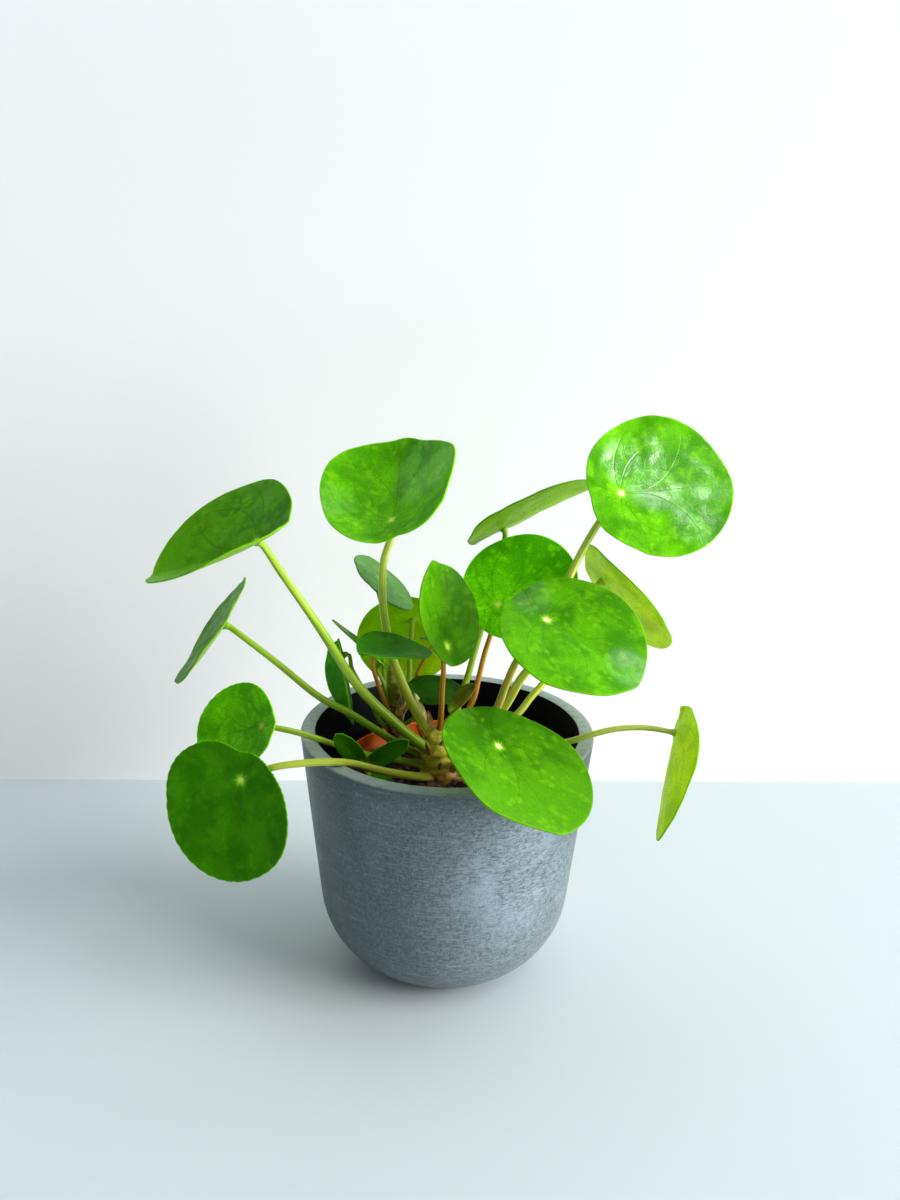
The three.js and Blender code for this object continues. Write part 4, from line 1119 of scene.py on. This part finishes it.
# the plantlet, a short shoot beside the crown with small narrow leaves, given as the big ones are
plantlet = {
    "line": [(-39, -13, 97), (-39, -13, 105), (-40, -13, 111), (-42, -13, 116.5)],
    "radii": [1.7, 1.7, 1.5, 1], "stalk": "green",
    "each": {"seat": 0.06, "wrinkle": 0.08, "steps": (48, 12), "thickness": 0.6,
             "look": {"kind": "deep", "tone": 1.7}},
    "leaves": [
        {"at": (-43, -13, 116.5), "faces": 17, "rises": -14, "tip": -145,
         "size": (27, 11), "fold": (12, 12)},
        {"at": (-40.5, -13, 115.5), "faces": -10, "rises": 0, "tip": 126,
         "size": (29, 10), "fold": (14, 14)},
        {"at": (-39.5, -13.5, 111), "faces": -8, "rises": 50, "tip": 84,
         "size": (13, 6), "fold": (10, 10)},
        {"at": (-42, -12.5, 116), "faces": 16, "rises": 34, "tip": -151,
         "size": (10, 5), "fold": (10, 10)},
    ],
}


def makePlantlet():
    grown = [{**usualLeaf, **plantlet["each"], **leaf} for leaf in plantlet["leaves"]]
    finishes = leafFinishes("plantlet", grown[0])
    for letter, leaf in zip("abcd", grown):
        bladePiece("plantlet_leaf_" + letter, leaf, finishes, "leaf")
    bm = bmesh.new()
    farUp = bm.verts.layers.float.new("far")

    def radiusAt(share, turn, far):
        return along(plantlet["radii"], share)
    for vert in tube(bm, plantlet["line"], radiusAt, sides=12, step=1.2):
        vert[farUp] = 0.5
    piece("plantlet_stem", bm, [stalkFinishes[plantlet["stalk"]]], "leaf", ["plantlet"])


makePlantlet()
print("plantlet made")


# the floor, the wall, the lights and the camera; metres
studio = {
    # the wall's colour near the floor is paler: painted light making up for the light it lacks there
    "size": 6, "floor": (0.62, 0.69, 0.72), "wall": (0.86, 0.9, 0.92), "wallLowPaintedLight": (0.99, 0.99, 0.99),
    "paintedLightTo": 0.55,  # height up to which the wall is painted paler, painted light near the floor
    "wallFoot": ((-0.301, 0.193), (0.313, 0.217)),  # two points of the line where wall and floor meet
    "room": (0.8, 0.92, 1.0), "roomPower": 0.17,
    # each lamp: place, size, watts, colour
    "lamps": {
        "window": ((5.4, -1.9, 1.7), 4.2, 640, (1.0, 0.98, 0.95)),
        "skylight": ((1.75, -0.67, 2.7), 1.2, 24, (1.0, 1.0, 1.0)),
        "ceiling": ((0.1, -0.3, 2.4), 2.4, 6, (0.93, 0.97, 1.0)),
    },
    "lampsAimAt": (0, 0, 0.15),
    "lens": 42, "sensor": 36, "eye": (0, -0.658, 0.426), "pitch": 18.92, "roll": 1.19,
}


def paintFinish(name, colour, low, roughness, oneSided):  # low: the colour near the floor, paler on the wall as painted light
    m, shader = newFinish(name, Roughness=roughness, Specular_IOR_Level=0.2)
    place = objectPlace(m)
    height = node(m, "SeparateXYZ", None, Vector=place).outputs[2]
    # on the wall, painted light: paler towards the floor
    body = stain(m, low, colour, height, 0.0, studio["paintedLightTo"])
    clouds = between(m, noiseOf(m, place, 3, 3, 0.5), 0.3, 0.7, 0.97, 1.0)
    feed(m, shader.inputs["Base Color"], blend(m, 1.0, body, clouds, "MULTIPLY"))
    if oneSided:  # seen from behind, the wall is clear
        clear = node(m, "BsdfTransparent")
        back = node(m, "NewGeometry").outputs["Backfacing"]
        mixed = node(m, "MixShader", None, Fac=back)
        feed(m, mixed.inputs[1], shader.outputs[0])
        feed(m, mixed.inputs[2], clear.outputs[0])
        feed(m, m.node_tree.nodes["Material Output"].inputs["Surface"], mixed.outputs[0])
    return m


def makeRoom():
    s = studio
    left, right = (Vector((*p, 0)) for p in s["wallFoot"])
    run = right - left
    half = s["size"] / 2
    bm = bmesh.new()
    bmesh.ops.create_grid(bm, x_segments=1, y_segments=1, size=half)
    floor = bpy.data.meshes.new("floor")
    bm.to_mesh(floor)
    for turn, axis in ((pi / 2, "X"), (atan2(run.y, run.x), "Z")):
        bmesh.ops.rotate(bm, verts=bm.verts, cent=(0, 0, 0), matrix=Matrix.Rotation(turn, 3, axis))
    bmesh.ops.translate(bm, verts=bm.verts, vec=(left + right) / 2 + Vector((0, 0, half)))
    wall = bpy.data.meshes.new("wall")
    bm.to_mesh(wall)
    bm.free()
    floor.materials.append(paintFinish("floor_paint", s["floor"], s["floor"], 0.5, False))
    wall.materials.append(paintFinish("wall_paint", s["wall"], s["wallLowPaintedLight"], 0.9, True))
    for shape in (floor, wall):
        obj = newObject(shape.name, shape)


def makeLights():
    s = studio
    world = bpy.data.worlds.new("room")
    world.use_nodes = True
    background = world.node_tree.nodes["Background"]
    background.inputs["Color"].default_value = (*s["room"], 1)
    background.inputs["Strength"].default_value = s["roomPower"]
    bpy.context.scene.world = world
    bpy.context.scene.view_settings.view_transform = "Standard"
    for name, (place, size, power, colour) in s["lamps"].items():
        light = bpy.data.lights.new(name, "AREA")
        light.shape, light.size, light.energy, light.color = "SQUARE", size, power, colour
        obj = newObject(name, light)
        obj.location = place
        aim = Vector(s["lampsAimAt"]) - obj.location
        obj.rotation_euler = aim.to_track_quat("-Z", "Y").to_euler()


def makeCamera():
    s = studio
    camera = bpy.data.cameras.new("camera")
    camera.lens, camera.sensor_width = s["lens"], s["sensor"]
    view = newObject("camera", camera)
    tilt, roll = radians(90 - s["pitch"]), radians(s["roll"])
    turned = Matrix.Rotation(tilt, 4, "X") @ Matrix.Rotation(roll, 4, "Z")
    view.matrix_world = Matrix.Translation(s["eye"]) @ turned
    bpy.context.scene.camera = view


makeRoom()
makeLights()
makeCamera()
print("studio made")
